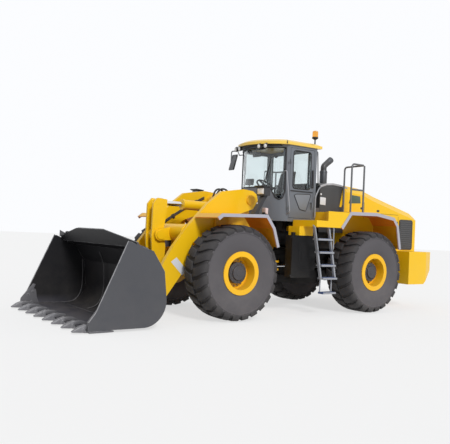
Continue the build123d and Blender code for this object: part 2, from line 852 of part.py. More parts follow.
with BuildPart() as steering_column:
    side_plate([(250, floor), (360, floor), (300, 2420), (175, 2655), (125, 2625), (220, 2380)], -70, 70)
    with BuildSketch(Plane(origin=(pivot_x + 150, 0, 2625), z_dir=(-0.55, 0, 0.835))) as wheel:
        Circle(200)
        Circle(172, mode=Mode.SUBTRACT)
        Rectangle(360, 40)
    extrude(wheel.sketch, amount=24)
save(steering_column, "steering_column")


# ---- exhaust, beacon, mirror, handrails, lamps
with BuildPart() as exhaust_stack:
    bent_tube([(-1600, 0, 2740 + face_gap + 10), (-1600, 0, 3220), (-1790, 0, 3370)], 90, radius=70)
save(exhaust_stack, "exhaust_stack")

beacon_x = roof_rear_x + 25
beacon_y = 600
roof_top = cab_top_z + face_gap + roof_thickness
beacon_foot_z = roof_top - 26  # on the slope at the roof's rear edge
with BuildPart() as beacon:
    post(beacon_x, beacon_y, 12, beacon_foot_z, roof_top + 170)
    post(beacon_x, beacon_y, 62, roof_top + 150, roof_top + 310)
    fillet(beacon.edges().sort_by(Axis.Z)[-1], 30)
save(beacon, "beacon")

mirror_root_x = 120
mirror_arm_z = 3475
mirror_y = -1290
with BuildPart() as mirror_arm:
    bent_tube(
        [
            (mirror_root_x, -roof_side - face_gap, mirror_arm_z),
            (mirror_root_x, mirror_y, mirror_arm_z),
            (mirror_root_x, mirror_y, 3190),
        ],
        40,
        radius=14,
    )
    bent_tube(
        [
            (mirror_root_x, -cab_half - face_gap, 3360),
            (mirror_root_x, -980, 3360),
            (mirror_root_x, -1060, mirror_arm_z),
        ],
        25,
        radius=12,
    )
    side_plate([(150, 3030), (190, 3030), (90, 3400), (50, 3400)], mirror_y, mirror_y + 165, corner=15)
save(mirror_arm, "mirror")

rail_front_x = rear_arch[1][0] - 40
rail_rear_x = rail_front_x - 380
rail_y = fender_outside - 50
rail_top = 3130


def above_fender(x):
    """Height at which a post of the rail stands on the flat of the rear fender."""
    (front_x, front_z), (rear_x, rear_z) = rear_arch[1:3]
    return front_z + (rear_z - front_z) * (x - front_x) / (rear_x - front_x) + 2 * face_gap


with BuildPart() as handrails:
    bent_tube(
        [
            (rail_front_x, rail_y, above_fender(rail_front_x)),
            (rail_front_x, rail_y, rail_top),
            (rail_rear_x, rail_y, rail_top),
            (rail_rear_x - 60, hood_half + 60, rail_top),
            (rail_rear_x - 60, hood_half + 60, above_fender(rail_rear_x - 60)),
        ],
        70,
    )
    round_between((rail_front_x, rail_y, 2600), (rail_rear_x, rail_y, 2600), tube_radius)
    post(rail_rear_x, rail_y, tube_radius, above_fender(rail_rear_x), rail_top - 10)
    both_sides()
save(handrails, "handrails")

lamp_y = 1130
lamp_foot_x = front_arch[2][0] + 20
lamp_x = lamp_foot_x - 220
lamp_base_z = front_arch[2][1] + face_gap
with BuildPart() as headlights:
    side_plate(
        [(lamp_foot_x, lamp_base_z), (lamp_foot_x + 80, lamp_base_z), (lamp_x + 60, 2345), (lamp_x - 20, 2345)],
        lamp_y - 60,
        lamp_y + 60,
    )
    block((lamp_x - 20, lamp_x + 120), (lamp_y - 120, lamp_y + 120), (2325, 2490))
    fillet(headlights.edges().filter_by(Axis.X).group_by(Axis.Z)[-1], 25)
    block((lamp_foot_x - 10, lamp_foot_x + 100), (lamp_y - 90, lamp_y + 90), (lamp_base_z, lamp_base_z + 15))
    both_sides()
save(headlights, "headlights")


# ---- boom: two arms, a cross tube and the lugs that carry the bell crank
pin_radius = 55
tip_radius = 125
cross_tube = (2440, 1560)
cross_tube_radius = 160
lug_faces = (140, 200)
crank_faces = (85, 130)
eye_half = 75
arm_outline = [
    (905, 2230),
    (940, 2370),
    (1040, 2430),
    (1270, 2450),
    (1780, 2370),
    (2100, 2120),
    (2530, 1670),
    (2810, 1310),
    (2990, 1020),
    (bucket_pivot[0] + 118, bucket_pivot[1] + 41),
    (bucket_pivot[0] - 75, bucket_pivot[1] - 100),
    (2910, 410),
    (2560, 870),
    (2400, 1380),
    (1750, 1820),
    (1210, 2010),
    (980, 2090),
]
boss_radius = 110

with BuildPart() as boom:
    for hand in (1, -1):
        low, high = sorted((hand * arm_inside, hand * arm_outside))
        side_plate(arm_outline, low, high)
        cross_bar(bucket_pivot, tip_radius, low, high)
        cross_bar(lift_eye, 95, low, high)
        side_plate([(1790, 1850), (2250, 1560), (2080, 1500), (1905, 1550)], low, high)
        near, far = sorted((hand * (tower_outside - 10 + moving_gap), hand * arm_inside))
        cross_bar(boom_pivot, boss_radius, near, far)
        near, far = sorted((hand * (lift_y + eye_half + moving_gap), hand * arm_inside))
        cross_bar(lift_eye, 70, near, far)
        near, far = sorted((hand * lug_faces[0], hand * lug_faces[1]))
        side_plate(
            [
                (cross_tube[0] - 60, cross_tube[1] + 130),
                (bellcrank_pivot[0] + 20, bellcrank_pivot[1] + 105),
                (bellcrank_pivot[0] + 20, bellcrank_pivot[1] - 105),
                (cross_tube[0] - 20, cross_tube[1] - 150),
            ],
            near,
            far,
        )
        cross_bar(bellcrank_pivot, 110, near, far)
    cross_bar(cross_tube, cross_tube_radius, -arm_inside, arm_inside)
    cross_bar(boom_pivot, 70 + bearing_gap, -arm_outside - 1, arm_outside + 1, mode=Mode.SUBTRACT)
    cross_bar(bellcrank_pivot, pin_radius + bearing_gap, -210, 210, mode=Mode.SUBTRACT)
    cross_bar(bucket_pivot, pin_radius + bearing_gap, -arm_outside - 1, arm_outside + 1, mode=Mode.SUBTRACT)
save(boom, "boom")

with BuildPart() as bellcrank_pin:
    cross_bar(bellcrank_pivot, pin_radius, -lug_faces[1] - pin_overhang, lug_faces[1] + pin_overhang)
    for hand in (1, -1):
        near = hand * (lug_faces[1] + bearing_gap)
        far = hand * (lug_faces[1] + pin_overhang + 10)
        cross_bar(bellcrank_pivot, pin_radius + 30, *sorted((near, far)))
save(bellcrank_pin, "bellcrank_pin")

with BuildPart() as bell_crank:
    for hand in (1, -1):
        near, far = sorted((hand * crank_faces[0], hand * crank_faces[1]))
        side_plate(
            [
                (2625, 2170),
                (2830, 2190),
                (2920, 2080),
                (2930, 1450),
                (link_rear[0] + 90, link_rear[1] + 10),
                (link_rear[0] + 20, link_rear[1] - 88),
                (link_rear[0] - 85, link_rear[1] - 30),
                (2625, 1250),
                (2670, 1650),
                (2620, 2000),
            ],
            near,
            far,
            corner=18,
        )
    cross_bar(bellcrank_pivot, 120, -crank_faces[1] - 2, crank_faces[1] + 2)
    cross_bar(bellcrank_pivot, pin_radius + bearing_gap, -140, 140, mode=Mode.SUBTRACT)
    cross_bar(link_rear, 50 + bearing_gap, -140, 140, mode=Mode.SUBTRACT)
save(bell_crank, "bell_crank")

with BuildPart() as link_pin:
    cross_bar(link_rear, 50, -crank_faces[1] - pin_overhang, crank_faces[1] + pin_overhang)
    for hand in (1, -1):
        near = hand * (crank_faces[1] + bearing_gap)
        far = hand * (crank_faces[1] + pin_overhang + 10)
        cross_bar(link_rear, 75, *sorted((near, far)))
save(link_pin, "link_pin")

with BuildPart() as link:
    side_plate(
        [
            (link_rear[0], link_rear[1] + 55),
            (link_front[0], link_front[1] + 50),
            (link_front[0], link_front[1] - 50),
            (link_rear[0], link_rear[1] - 55),
        ],
        -eye_half,
        eye_half,
    )
    for centre in (link_rear, link_front):
        cross_bar(centre, 78, -eye_half, eye_half)
    cross_bar(link_rear, 50 + bearing_gap, -140, 140, mode=Mode.SUBTRACT)
    cross_bar(link_front, 50, -140, 140, mode=Mode.SUBTRACT)
save(link, "link")


# ---- bucket: bowed shell between side plates, spill guard, ears, blade and teeth
bucket_half = bucket_width / 2
bucket_floor_z = 40
blade_x = 4750
blade_thickness = 40
ear_gap = 10
ear_thickness = 45
bucket_back = [(3820, bucket_floor_z), (3515, 190), (3430, 520)]
bucket_top = (3950, 1330)
guard_tip = (4090, 1570)
guard_half = 500


def bucket_section(grow, front):
    """Side outline of the bucket, closed by its open front; grow is negative for the space inside."""
    with BuildSketch(side(bucket_half)) as outline:
        with BuildLine():
            Polyline(bucket_back[2], (3480, 930), (3700, 1255), bucket_top, *front, bucket_back[0])
            ThreePointArc(*bucket_back)
        make_face()
        if grow:
            offset(amount=grow, kind=Kind.INTERSECTION)
    return outline.sketch


side_front = [(4140, 1410), (4640, 300), (blade_x, 160), (blade_x, bucket_floor_z)]
space_front = [(bucket_top[0] + 60, 1700), (5300, 1700), (5300, bucket_floor_z)]
with BuildPart() as bucket:
    extrude(bucket_section(0, side_front), amount=bucket_width)
    for hand in (1, -1):
        for low in (arm_inside - ear_gap - ear_thickness, arm_outside + ear_gap):
            near, far = sorted((hand * low, hand * (low + ear_thickness)))
            cross_bar(bucket_pivot, tip_radius - 10, near, far)
            side_plate(
                [
                    (bucket_pivot[0] - 90, bucket_pivot[1] + 70),
                    (3490, 940),
                    (3600, 700),
                    (3600, 200),
                    (bucket_pivot[0] + 30, bucket_pivot[1] - 110),
                ],
                near,
                far,
            )
        near, far = sorted((hand * (eye_half + ear_gap), hand * (eye_half + ear_gap + ear_thickness)))
        cross_bar(link_front, 90, near, far)
        side_plate(
            [
                (link_front[0] - 40, link_front[1] + 82),
                (3500, 960),
                (3600, 800),
                (3600, 480),
                (link_front[0] - 60, link_front[1] - 80),
            ],
            near,
            far,
        )
    with BuildSketch(side(bucket_half - bucket_plate)) as space:
        add(side(bucket_half - bucket_plate).to_local_coords(bucket_section(-bucket_plate, space_front)))
    extrude(space.sketch, amount=bucket_width - 2 * bucket_plate, mode=Mode.SUBTRACT)
    for y in (-arm_outside - 200, 0):
        cross_bar(bucket_pivot, pin_radius + bearing_gap, y, y + arm_outside + 200, mode=Mode.SUBTRACT)
    side_plate(
        [
            (bucket_top[0] - 20, bucket_top[1] - 30),
            bucket_top,
            guard_tip,
            (guard_tip[0] + 22, guard_tip[1] - 12),
            (bucket_top[0] + 22, bucket_top[1] - 30),
        ],
        -bucket_half,
        bucket_half,
    )
    with BuildSketch(across(3800)) as taper_cut:
        for hand in (1, -1):
            Polygon(
                (hand * guard_half, guard_tip[1] + 5),
                (hand * (bucket_half + 1), guard_tip[1] + 5),
                (hand * (bucket_half + 1), bucket_top[1] + 60),
                align=None,
            )
    extrude(taper_cut.sketch, amount=340, mode=Mode.SUBTRACT)
save(bucket, "bucket")

tooth_count = 8
tooth_width = 115
tooth_pitch = (bucket_width - 260) / (tooth_count - 1)
blade_low = bucket_floor_z - face_gap
blade_high = bucket_floor_z + blade_thickness + face_gap
with BuildPart() as bucket_teeth:
    for tooth in range(tooth_count):
        y = -bucket_half + 130 + tooth * tooth_pitch
        side_plate(
            [
                (blade_x + face_gap, blade_low),
                (blade_x + face_gap, blade_high),
                (blade_x - 190, blade_high),
                (blade_x - 150, blade_high + 45),
                (blade_x + 20, blade_high + 55),
                (front_reach, 40),
                (front_reach, 15),
                (blade_x + 10, 6),
                (blade_x - 150, 8),
                (blade_x - 170, blade_low),
            ],
            y - tooth_width / 2,
            y + tooth_width / 2,
        )
save(bucket_teeth, "bucket_teeth")

with BuildPart() as bucket_pins:
    inner = arm_inside - ear_gap - ear_thickness
    outer = arm_outside + ear_gap + ear_thickness
    for hand in (1, -1):
        cross_bar(bucket_pivot, pin_radius, *sorted((hand * (inner - pin_overhang), hand * (outer + pin_overhang))))
        for near, far in (
            (inner - pin_overhang - 10, inner - bearing_gap),
            (outer + bearing_gap, outer + pin_overhang + 10),
        ):
            cross_bar(bucket_pivot, pin_radius + 28, *sorted((hand * near, hand * far)))
save(bucket_pins, "bucket_pins")


# ---- cylinders: barrel on its base pin, rod sliding in it, rod eye left open
def pin_disc(centre, pin_axis, radius, half, mode=Mode.ADD):
    """Round disc about a pin's axis, centred on (x, y, z)."""
    origin = Vector(pivot_x + centre[0], centre[1], centre[2])
    with BuildSketch(Plane(origin=origin, z_dir=pin_axis)) as disc:
        Circle(radius)
    extrude(disc.sketch, amount=half, both=True, mode=mode)


def point_along(base, eye, distance):
    """Point at a distance from the base towards the eye."""
    way = (Vector(*eye) - Vector(*base)).normalized()
    return tuple(Vector(*base) + way * distance)


def add_barrel(base, eye, pin_axis, radius, rod_radius, length, eye_radius, base_half, pin_hole):
    round_between(point_along(base, eye, eye_radius * 0.7), point_along(base, eye, length), radius)
    round_between(point_along(base, eye, length - 50), point_along(base, eye, length), radius + 8)
    pin_disc(base, pin_axis, eye_radius, base_half)
    pin_disc(base, pin_axis, pin_hole, base_half + radius, mode=Mode.SUBTRACT)
    round_between(
        point_along(base, eye, eye_radius + 10),
        point_along(base, eye, length + 5),
        rod_radius + bearing_gap,
        mode=Mode.SUBTRACT,
    )


def add_rod(base, eye, pin_axis, rod_radius, rod_length, eye_radius, rod_eye_half, pin_hole):
    reach = (Vector(*eye) - Vector(*base)).length
    round_between(point_along(base, eye, reach - rod_length), point_along(base, eye, reach - 10), rod_radius)
    pin_disc(eye, pin_axis, eye_radius, rod_eye_half)
    pin_disc(eye, pin_axis, pin_hole, rod_eye_half + rod_radius, mode=Mode.SUBTRACT)


left_axis = (0, 1, 0)
up_axis = (0, 0, 1)
tilt_start = (tilt_base[0], 0, tilt_base[1])
tilt_end = (tilt_eye[0], 0, tilt_eye[1])
with BuildPart() as tilt_barrel:
    add_barrel(tilt_start, tilt_end, left_axis, 95, 48, 1290, 92, tilt_bracket[0] - moving_gap, 45 + bearing_gap)
save(tilt_barrel, "tilt_barrel")
with BuildPart() as tilt_rod:
    add_rod(tilt_start, tilt_end, left_axis, 48, 900, 85, eye_half, 45)
save(tilt_rod, "tilt_rod")

lift_start = [(lift_base[0], hand * lift_y, lift_base[1]) for hand in (1, -1)]
lift_end = [(lift_eye[0], hand * lift_y, lift_eye[1]) for hand in (1, -1)]
with BuildPart() as lift_barrels:
    for start, end in zip(lift_start, lift_end):
        add_barrel(start, end, left_axis, 75, 45, 1270, 82, 60, 45 + bearing_gap)
save(lift_barrels, "lift_barrels")
with BuildPart() as lift_rods:
    for start, end in zip(lift_start, lift_end):
        add_rod(start, end, left_axis, 45, 1290, 80, eye_half, 45)
save(lift_rods, "lift_rods")

for hand_name, hand in (("left", 1), ("right", -1)):
    start = (steer_base[0], hand * steer_base[1], steer_z)
    end = (steer_eye[0], hand * steer_eye[1], steer_z)
    with BuildPart() as steer_barrel:
        add_barrel(start, end, up_axis, 46, 28, 930, 56, 50, 30 + bearing_gap)
    save(steer_barrel, f"steer_barrel_{hand_name}")
    with BuildPart() as steer_rod:
        add_rod(start, end, up_axis, 28, 860, 50, 40, 30)
    save(steer_rod, f"steer_rod_{hand_name}")
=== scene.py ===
import math
import bpy
from mathutils import Matrix, Vector


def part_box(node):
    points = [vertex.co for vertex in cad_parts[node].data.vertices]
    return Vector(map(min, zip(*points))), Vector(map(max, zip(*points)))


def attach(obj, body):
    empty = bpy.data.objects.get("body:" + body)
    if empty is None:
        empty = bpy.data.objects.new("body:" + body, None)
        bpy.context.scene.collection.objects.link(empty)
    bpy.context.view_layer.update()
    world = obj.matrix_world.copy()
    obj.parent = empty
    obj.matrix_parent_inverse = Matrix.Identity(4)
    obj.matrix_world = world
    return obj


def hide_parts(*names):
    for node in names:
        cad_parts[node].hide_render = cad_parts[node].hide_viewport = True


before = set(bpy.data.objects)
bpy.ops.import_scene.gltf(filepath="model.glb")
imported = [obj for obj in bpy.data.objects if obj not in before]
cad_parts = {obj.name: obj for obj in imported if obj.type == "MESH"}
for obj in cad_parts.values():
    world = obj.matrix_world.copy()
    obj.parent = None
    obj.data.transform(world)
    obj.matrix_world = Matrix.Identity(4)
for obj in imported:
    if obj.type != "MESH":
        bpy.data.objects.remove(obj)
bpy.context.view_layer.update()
scene = bpy.context.scene
bpy.ops.object.select_all(action="DESELECT")


def edit():
    bpy.ops.object.mode_set(mode="EDIT")


def leave():
    bpy.ops.object.mode_set(mode="OBJECT")


def selectAll():
    bpy.ops.mesh.select_all(action="SELECT")


def outward():  # ends an edit with every face turned outward
    selectAll()
    bpy.ops.mesh.normals_make_consistent(inside=False)


def fresh():
    if bpy.context.object and bpy.context.object.mode != "OBJECT":
        leave()
    bpy.ops.object.select_all(action="DESELECT")


def pick(piece):
    fresh()
    piece.select_set(True)
    bpy.context.view_layer.objects.active = piece
    return piece


def newObject(name, data):
    piece = bpy.data.objects.new(name, data)
    scene.collection.objects.link(piece)
    return piece


def settle(piece):  # the object goes to the origin, its place into its mesh
    pick(piece)
    bpy.ops.object.transform_apply(location=True, rotation=True, scale=True)
    return piece


def roundEdges(width):
    bpy.ops.mesh.bevel(offset=width, segments=2, profile=0.6, affect="EDGES")


def choose(piece, test, kind="FACE"):  # selects what passes the test and stays in edit mode
    pick(piece)
    edit()
    bpy.ops.mesh.select_mode(type=kind)
    bpy.ops.mesh.select_all(action="DESELECT")
    leave()
    if kind == "FACE":
        for face in piece.data.polygons:
            face.select = test(face.center, face.normal)
    else:
        for corner in piece.data.vertices:
            corner.select = test(corner.co)
    edit()


def box(centre, size, turn=(0, 0, 0), bevel=0):
    fresh()
    bpy.ops.mesh.primitive_cube_add(size=1, location=centre, rotation=turn, scale=size)
    piece = settle(bpy.context.object)
    if bevel:
        edit()
        selectAll()
        roundEdges(bevel)
        leave()
    return piece


def rodBetween(start, end, radius, sides=24, bevel=0):
    start, end = Vector(start), Vector(end)
    along = end - start
    fresh()
    turn = along.to_track_quat("Z", "Y").to_euler()
    place = (start + end) / 2
    bpy.ops.mesh.primitive_cylinder_add(
        vertices=sides, radius=radius, depth=along.length, location=place, rotation=turn)
    piece = settle(bpy.context.object)
    if bevel:
        axis = along.normalized()
        choose(piece, lambda centre, normal: abs(normal.dot(axis)) > 0.9)
        roundEdges(bevel)
        leave()
    return piece


def pointAt(place):  # one corner, left in edit mode to be drawn out
    fresh()
    bpy.ops.mesh.primitive_plane_add(size=0.001, location=place)
    piece = settle(bpy.context.object)
    edit()
    bpy.ops.mesh.select_mode(type="VERT")
    selectAll()
    bpy.ops.mesh.merge(type="CENTER")
    return piece


def extrude(step):
    bpy.ops.mesh.extrude_region_move(TRANSFORM_OT_translate={"value": step})


def turned(outline, centre, axis, steps=64):  # outline lists (radius, distance along the axis)
    centre, axis = Vector(centre), Vector(axis).normalized()
    side = Vector((1, 0, 0) if abs(axis.z) > 0.999 else (0, 0, 1))
    piece = pointAt(centre + side * outline[0][0] + axis * outline[0][1])
    for (radius, along), (nextRadius, nextAlong) in zip(outline, outline[1:]):
        extrude(side * (nextRadius - radius) + axis * (nextAlong - along))
    selectAll()
    bpy.ops.mesh.spin(steps=steps, angle=2 * math.pi, center=centre, axis=axis)
    selectAll()
    bpy.ops.mesh.remove_doubles(threshold=0.0002)
    outward()
    leave()
    return piece


def swept(stations, axis="X"):  # a bar drawn along one axis through stations of centre and size
    turn = {"X": (0, math.pi / 2, 0), "Y": (math.pi / 2, 0, 0), "Z": (0, 0, 0)}[axis]
    spot, size = stations[0]
    fresh()
    bpy.ops.mesh.primitive_plane_add(size=1, rotation=turn)
    piece = settle(bpy.context.object)
    edit()
    selectAll()
    bpy.ops.transform.resize(value=size, center_override=(0, 0, 0))
    bpy.ops.transform.translate(value=spot)
    for nextSpot, nextSize in stations[1:]:
        extrude(Vector(nextSpot) - Vector(spot))
        bpy.ops.transform.resize(value=[b / a for a, b in zip(size, nextSize)], center_override=nextSpot)
        spot, size = nextSpot, nextSize
    outward()
    leave()
    return piece


def barOf(rows):  # a bar along X from rows of x, z, width and height
    return swept([((x, 0, z), (1, width, high)) for x, z, width, high in rows])


def plate(outline, low, high, axis="Y", bevel=0):  # an outline given thickness along one axis
    spot = {"Y": lambda a, b: (a, low, b), "X": lambda a, b: (low, a, b), "Z": lambda a, b: (a, b, low)}[axis]
    thick = {"Y": (0, high - low, 0), "X": (high - low, 0, 0), "Z": (0, 0, high - low)}[axis]
    corners = [Vector(spot(*point)) for point in outline]
    piece = pointAt(corners[0])
    for before, after in zip(corners, corners[1:]):
        extrude(after - before)
    selectAll()
    bpy.ops.mesh.edge_face_add()
    extrude(thick)
    outward()
    if bevel:
        roundEdges(bevel)
    leave()
    return piece


def pipe(points, radius, sides=8, smooth=True):  # a bent tube or hose through points
    curve = bpy.data.curves.new("pipe", "CURVE")
    curve.dimensions = "3D"
    run = curve.splines.new("NURBS" if smooth else "POLY")
    run.points.add(len(points) - 1)
    for spot, point in zip(run.points, points):
        spot.co = (*point, 1)
    if smooth:
        run.order_u = 3
        run.use_endpoint_u = True
    run.resolution_u = 5
    curve.bevel_depth = radius
    curve.bevel_resolution = sides // 4
    curve.use_fill_caps = True
    pick(newObject("pipe", curve))
    bpy.ops.object.convert(target="MESH")
    return bpy.context.object


def bent(points, radius, bend, sides=12):  # a tube with round bends of one size
    corners = [Vector(point) for point in points]
    path = [corners[0]]
    for before, corner, after in zip(corners, corners[1:], corners[2:]):
        first, last = (before - corner).normalized(), (after - corner).normalized()
        reach = min(bend, (before - corner).length / 2.01, (after - corner).length / 2.01)
        for i in range(7):
            t = i / 6
            path.append(corner + first * reach * (1 - t) ** 2 + last * reach * t ** 2)
    path.append(corners[-1])
    return pipe(path, radius, sides, smooth=False)


def joined(pieces):  # one piece from a list; a single piece stays as it is
    if not isinstance(pieces, list):
        return pieces
    fresh()
    for piece in pieces:
        piece.select_set(True)
    bpy.context.view_layer.objects.active = pieces[0]
    if len(pieces) > 1:
        bpy.ops.object.join()
    return bpy.context.object


def copyOf(piece, move=(0, 0, 0), turn=0, axis="Z"):
    other = piece.copy()
    other.data = piece.data.copy()
    scene.collection.objects.link(other)
    other.data.transform(Matrix.Translation(move) @ Matrix.Rotation(turn, 4, axis))
    return other


def modified(piece, kind, **values):
    pick(piece)
    bpy.ops.object.modifier_add(type=kind)
    modifier = piece.modifiers[-1]
    for key, value in values.items():
        setattr(modifier, key, value)
    bpy.ops.object.modifier_apply(modifier=modifier.name)
    return piece


def softened(piece, width, segments=2, angle=30):  # edges sharper than the angle are rounded
    values = dict(width=width, segments=segments, limit_method="ANGLE", angle_limit=math.radians(angle))
    return modified(piece, "BEVEL", **values)


def bothSides(pieces):
    return modified(joined(pieces), "MIRROR", use_axis=(False, True, False), use_mirror_merge=False)


def wear(piece, material):
    piece.data.materials.clear()
    piece.data.materials.append(material)


def finished(pieces, name, look, body="rear_half", slot=None, smooth=30):
    piece = settle(joined(pieces))
    piece.name = piece.data.name = name
    wear(piece, finish[look])
    bpy.ops.object.shade_smooth_by_angle(angle=math.radians(smooth))
    slot = slot or looks[look].get("slot", "black_plastic")
    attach(piece, body)
    return piece


# effects that the finishes share
def effect(name, outputs, **inputs):
    group = bpy.data.node_groups.new(name, "ShaderNodeTree")
    for label, value in inputs.items():
        socket = group.interface.new_socket(label, in_out="INPUT", socket_type="NodeSocketFloat")
        socket.default_value = value
    for label in outputs:
        group.interface.new_socket(label, in_out="OUTPUT", socket_type="NodeSocketFloat")
    return group, group.nodes.new("NodeGroupInput").outputs, group.nodes.new("NodeGroupOutput").inputs


def feed(tree, socket, value):  # a fixed value, or a link from another node's socket
    if isinstance(value, bpy.types.NodeSocket):
        tree.links.new(value, socket)
    else:
        socket.default_value = value


def add(tree, kind, **values):  # in_Name or in_0 is an input by its name or number
    node = tree.nodes.new(kind)
    for key, value in values.items():
        if key.startswith("in_"):
            label = key[3:].replace("_", " ")
            feed(tree, node.inputs[int(label) if label.isdigit() else label], value)
        else:
            setattr(node, key, value)
    return node


def maths(tree, operation, first, second=0.0, clamp=False):
    return add(tree, "ShaderNodeMath", operation=operation, use_clamp=clamp, in_0=first, in_1=second).outputs[0]


def mixed(tree, share, first, second):
    return add(tree, "ShaderNodeMix", data_type="RGBA", in_0=share, in_6=first, in_7=second).outputs[2]


def ramp(tree, value, start, gain):  # 0 at start, rising by gain for each unit beyond it, at most 1
    return maths(tree, "MULTIPLY", maths(tree, "SUBTRACT", value, start), gain, clamp=True)


def opaque(colour):
    return tuple(colour) + (1.0,)


def axesOf(tree, kind="Object"):  # X, Y and Z of a place or, with Normal, of a direction
    place = add(tree, "ShaderNodeTexCoord")
    return add(tree, "ShaderNodeSeparateXYZ", in_0=place.outputs[kind]).outputs


def noiseAt(tree, scale, **values):
    place = add(tree, "ShaderNodeTexCoord")
    noise = add(tree, "ShaderNodeTexNoise", in_Vector=place.outputs["Object"], in_Scale=scale, **values)
    return noise.outputs["Fac"]


def makeRub():
    group, given, result = effect("edge rub", ["Mask"], Width=0.006, Amount=0.5, Patch=9.0)
    bevel = add(group, "ShaderNodeBevel", samples=4, in_Radius=given["Width"])
    flat = add(group, "ShaderNodeNewGeometry").outputs["Normal"]
    dot = add(group, "ShaderNodeVectorMath", operation="DOT_PRODUCT", in_0=bevel.outputs[0], in_1=flat)
    patches = noiseAt(group, given["Patch"], in_Detail=5.0)
    edge = maths(group, "SUBTRACT", 1.0, dot.outputs["Value"])
    edge = maths(group, "MULTIPLY", edge, 4.0, clamp=True)
    mask = maths(group, "MULTIPLY", edge, ramp(group, patches, 0.42, 6.0))
    group.links.new(maths(group, "MULTIPLY", mask, given["Amount"], clamp=True), result["Mask"])
    return group


def makeDust():
    group, given, result = effect("dust film", ["Mask"], Amount=0.3, Low=0.2, Scale=3.0)
    cloud = noiseAt(group, given["Scale"], in_Detail=8.0, in_Roughness=0.65)
    up = maths(group, "MULTIPLY", maths(group, "MAXIMUM", axesOf(group, "Normal")["Z"], 0.0), 0.8)
    low = maths(group, "SUBTRACT", 1.0, maths(group, "MULTIPLY", axesOf(group)["Z"], 0.7), clamp=True)
    low = maths(group, "MULTIPLY", low, given["Low"])
    lay = maths(group, "ADD", maths(group, "MULTIPLY", up, given["Amount"]), low)
    patchy = maths(group, "MULTIPLY", lay, ramp(group, cloud, 0.3, 2.4), clamp=True)
    group.links.new(patchy, result["Mask"])
    return group


def makeGrain():
    group, given, result = effect("fine grain", ["Fine", "Broad"], Scale=200.0, Large=2.0)
    for label, source in (("Fine", "Scale"), ("Broad", "Large")):
        group.links.new(noiseAt(group, given[source], in_Detail=3.0), result[label])
    return group


edgeRub, dustFilm, fineGrain = makeRub(), makeDust(), makeGrain()


def placed(tree, group, **values):
    node = add(tree, "ShaderNodeGroup", node_tree=group)
    for key, value in values.items():
        node.inputs[key].default_value = value
    return node


def blank(name):
    material = bpy.data.materials.new(name)
    material.use_nodes = True
    return material, material.node_tree, material.node_tree.nodes["Principled BSDF"]


def coating(name, look):  # a painted, moulded or bare surface with grain, rubbed edges and dust, and painted shade where its look asks for it
    material, tree, shader = blank(name)
    for socket, key, usual in (
        ("Metallic", "metal", 0.0),
        ("Coat Weight", "coat", 0.0),
        ("Specular IOR Level", "specular", 0.5),
        ("Sheen Weight", "sheen", 0.0),
    ):
        shader.inputs[socket].default_value = look.get(key, usual)
    shader.inputs["Coat Roughness"].default_value = 0.15
    grain = placed(tree, fineGrain, Scale=look.get("grain", 220.0), Large=look.get("broad", 1.6))
    deep = [part * look.get("deep", 0.86) for part in look["colour"]]
    base = mixed(tree, grain.outputs["Broad"], opaque(deep), opaque(look["colour"]))
    if look.get("band"):  # another colour beyond a distance from the middle of the machine
        reach, other = look["band"]
        outside = maths(tree, "GREATER_THAN", maths(tree, "ABSOLUTE", axesOf(tree)["Y"]), reach)
        base = mixed(tree, outside, base, opaque(other))
    if look.get("under"):  # painted shade: a deeper colour on faces that look down
        down = maths(tree, "SUBTRACT", look.get("underFrom", -0.08), axesOf(tree, "Normal")["Z"])
        base = mixed(tree, maths(tree, "MULTIPLY", down, 1.6, clamp=True), base, opaque(look["under"]))
    if look.get("inside"):  # painted shade on faces that look towards a middle point inside the bucket's hollow, paler low down in front as painted light
        middle, dark, pale = look["inside"]
        place = add(tree, "ShaderNodeTexCoord")
        toward = add(tree, "ShaderNodeVectorMath", operation="SUBTRACT", in_0=middle, in_1=place.outputs["Object"])
        facing = add(tree, "ShaderNodeVectorMath", operation="DOT_PRODUCT", in_0=toward.outputs[0])
        feed(tree, facing.inputs[1], place.outputs["Normal"])
        spot = axesOf(tree)
        low = maths(tree, "MULTIPLY", maths(tree, "SUBTRACT", 0.24, spot["Z"]), 8.0, clamp=True)
        # the paler floor low at the front: painted light
        floor = maths(tree, "MULTIPLY", ramp(tree, spot["X"], 3.15, 1.1), low)
        lining = mixed(tree, floor, opaque(dark), opaque(pale))
        base = mixed(tree, maths(tree, "GREATER_THAN", facing.outputs["Value"], 0.0), base, lining)
    if look.get("rub"):
        rub = placed(tree, edgeRub, Width=look.get("rubWidth", 0.006), Amount=look["rub"])
        base = mixed(tree, rub.outputs["Mask"], base, opaque(look.get("bare", (0.3, 0.3, 0.3))))
    dust = placed(tree, dustFilm, Amount=look.get("dust", 0.12), Low=look.get("low", 0.1))
    base = mixed(tree, dust.outputs["Mask"], base, opaque(look.get("dustColour", (0.36, 0.32, 0.27))))
    tree.links.new(base, shader.inputs["Base Color"])
    spread = look.get("roughSpread", 0.16)
    rough = maths(tree, "MULTIPLY", grain.outputs["Fine"], spread)
    rough = maths(tree, "ADD", rough, look["rough"] - spread / 2)
    rough = maths(tree, "ADD", rough, maths(tree, "MULTIPLY", dust.outputs["Mask"], 0.3), clamp=True)
    tree.links.new(rough, shader.inputs["Roughness"])
    bump = add(tree, "ShaderNodeBump", in_Strength=look.get("bump", 0.05), in_Distance=0.002)
    feed(tree, bump.inputs["Height"], grain.outputs["Fine"])
    feed(tree, shader.inputs["Normal"], bump.outputs[0])
    return material


def paint(colour, rough, **rest):
    return dict(rest, colour=colour, rough=rough)


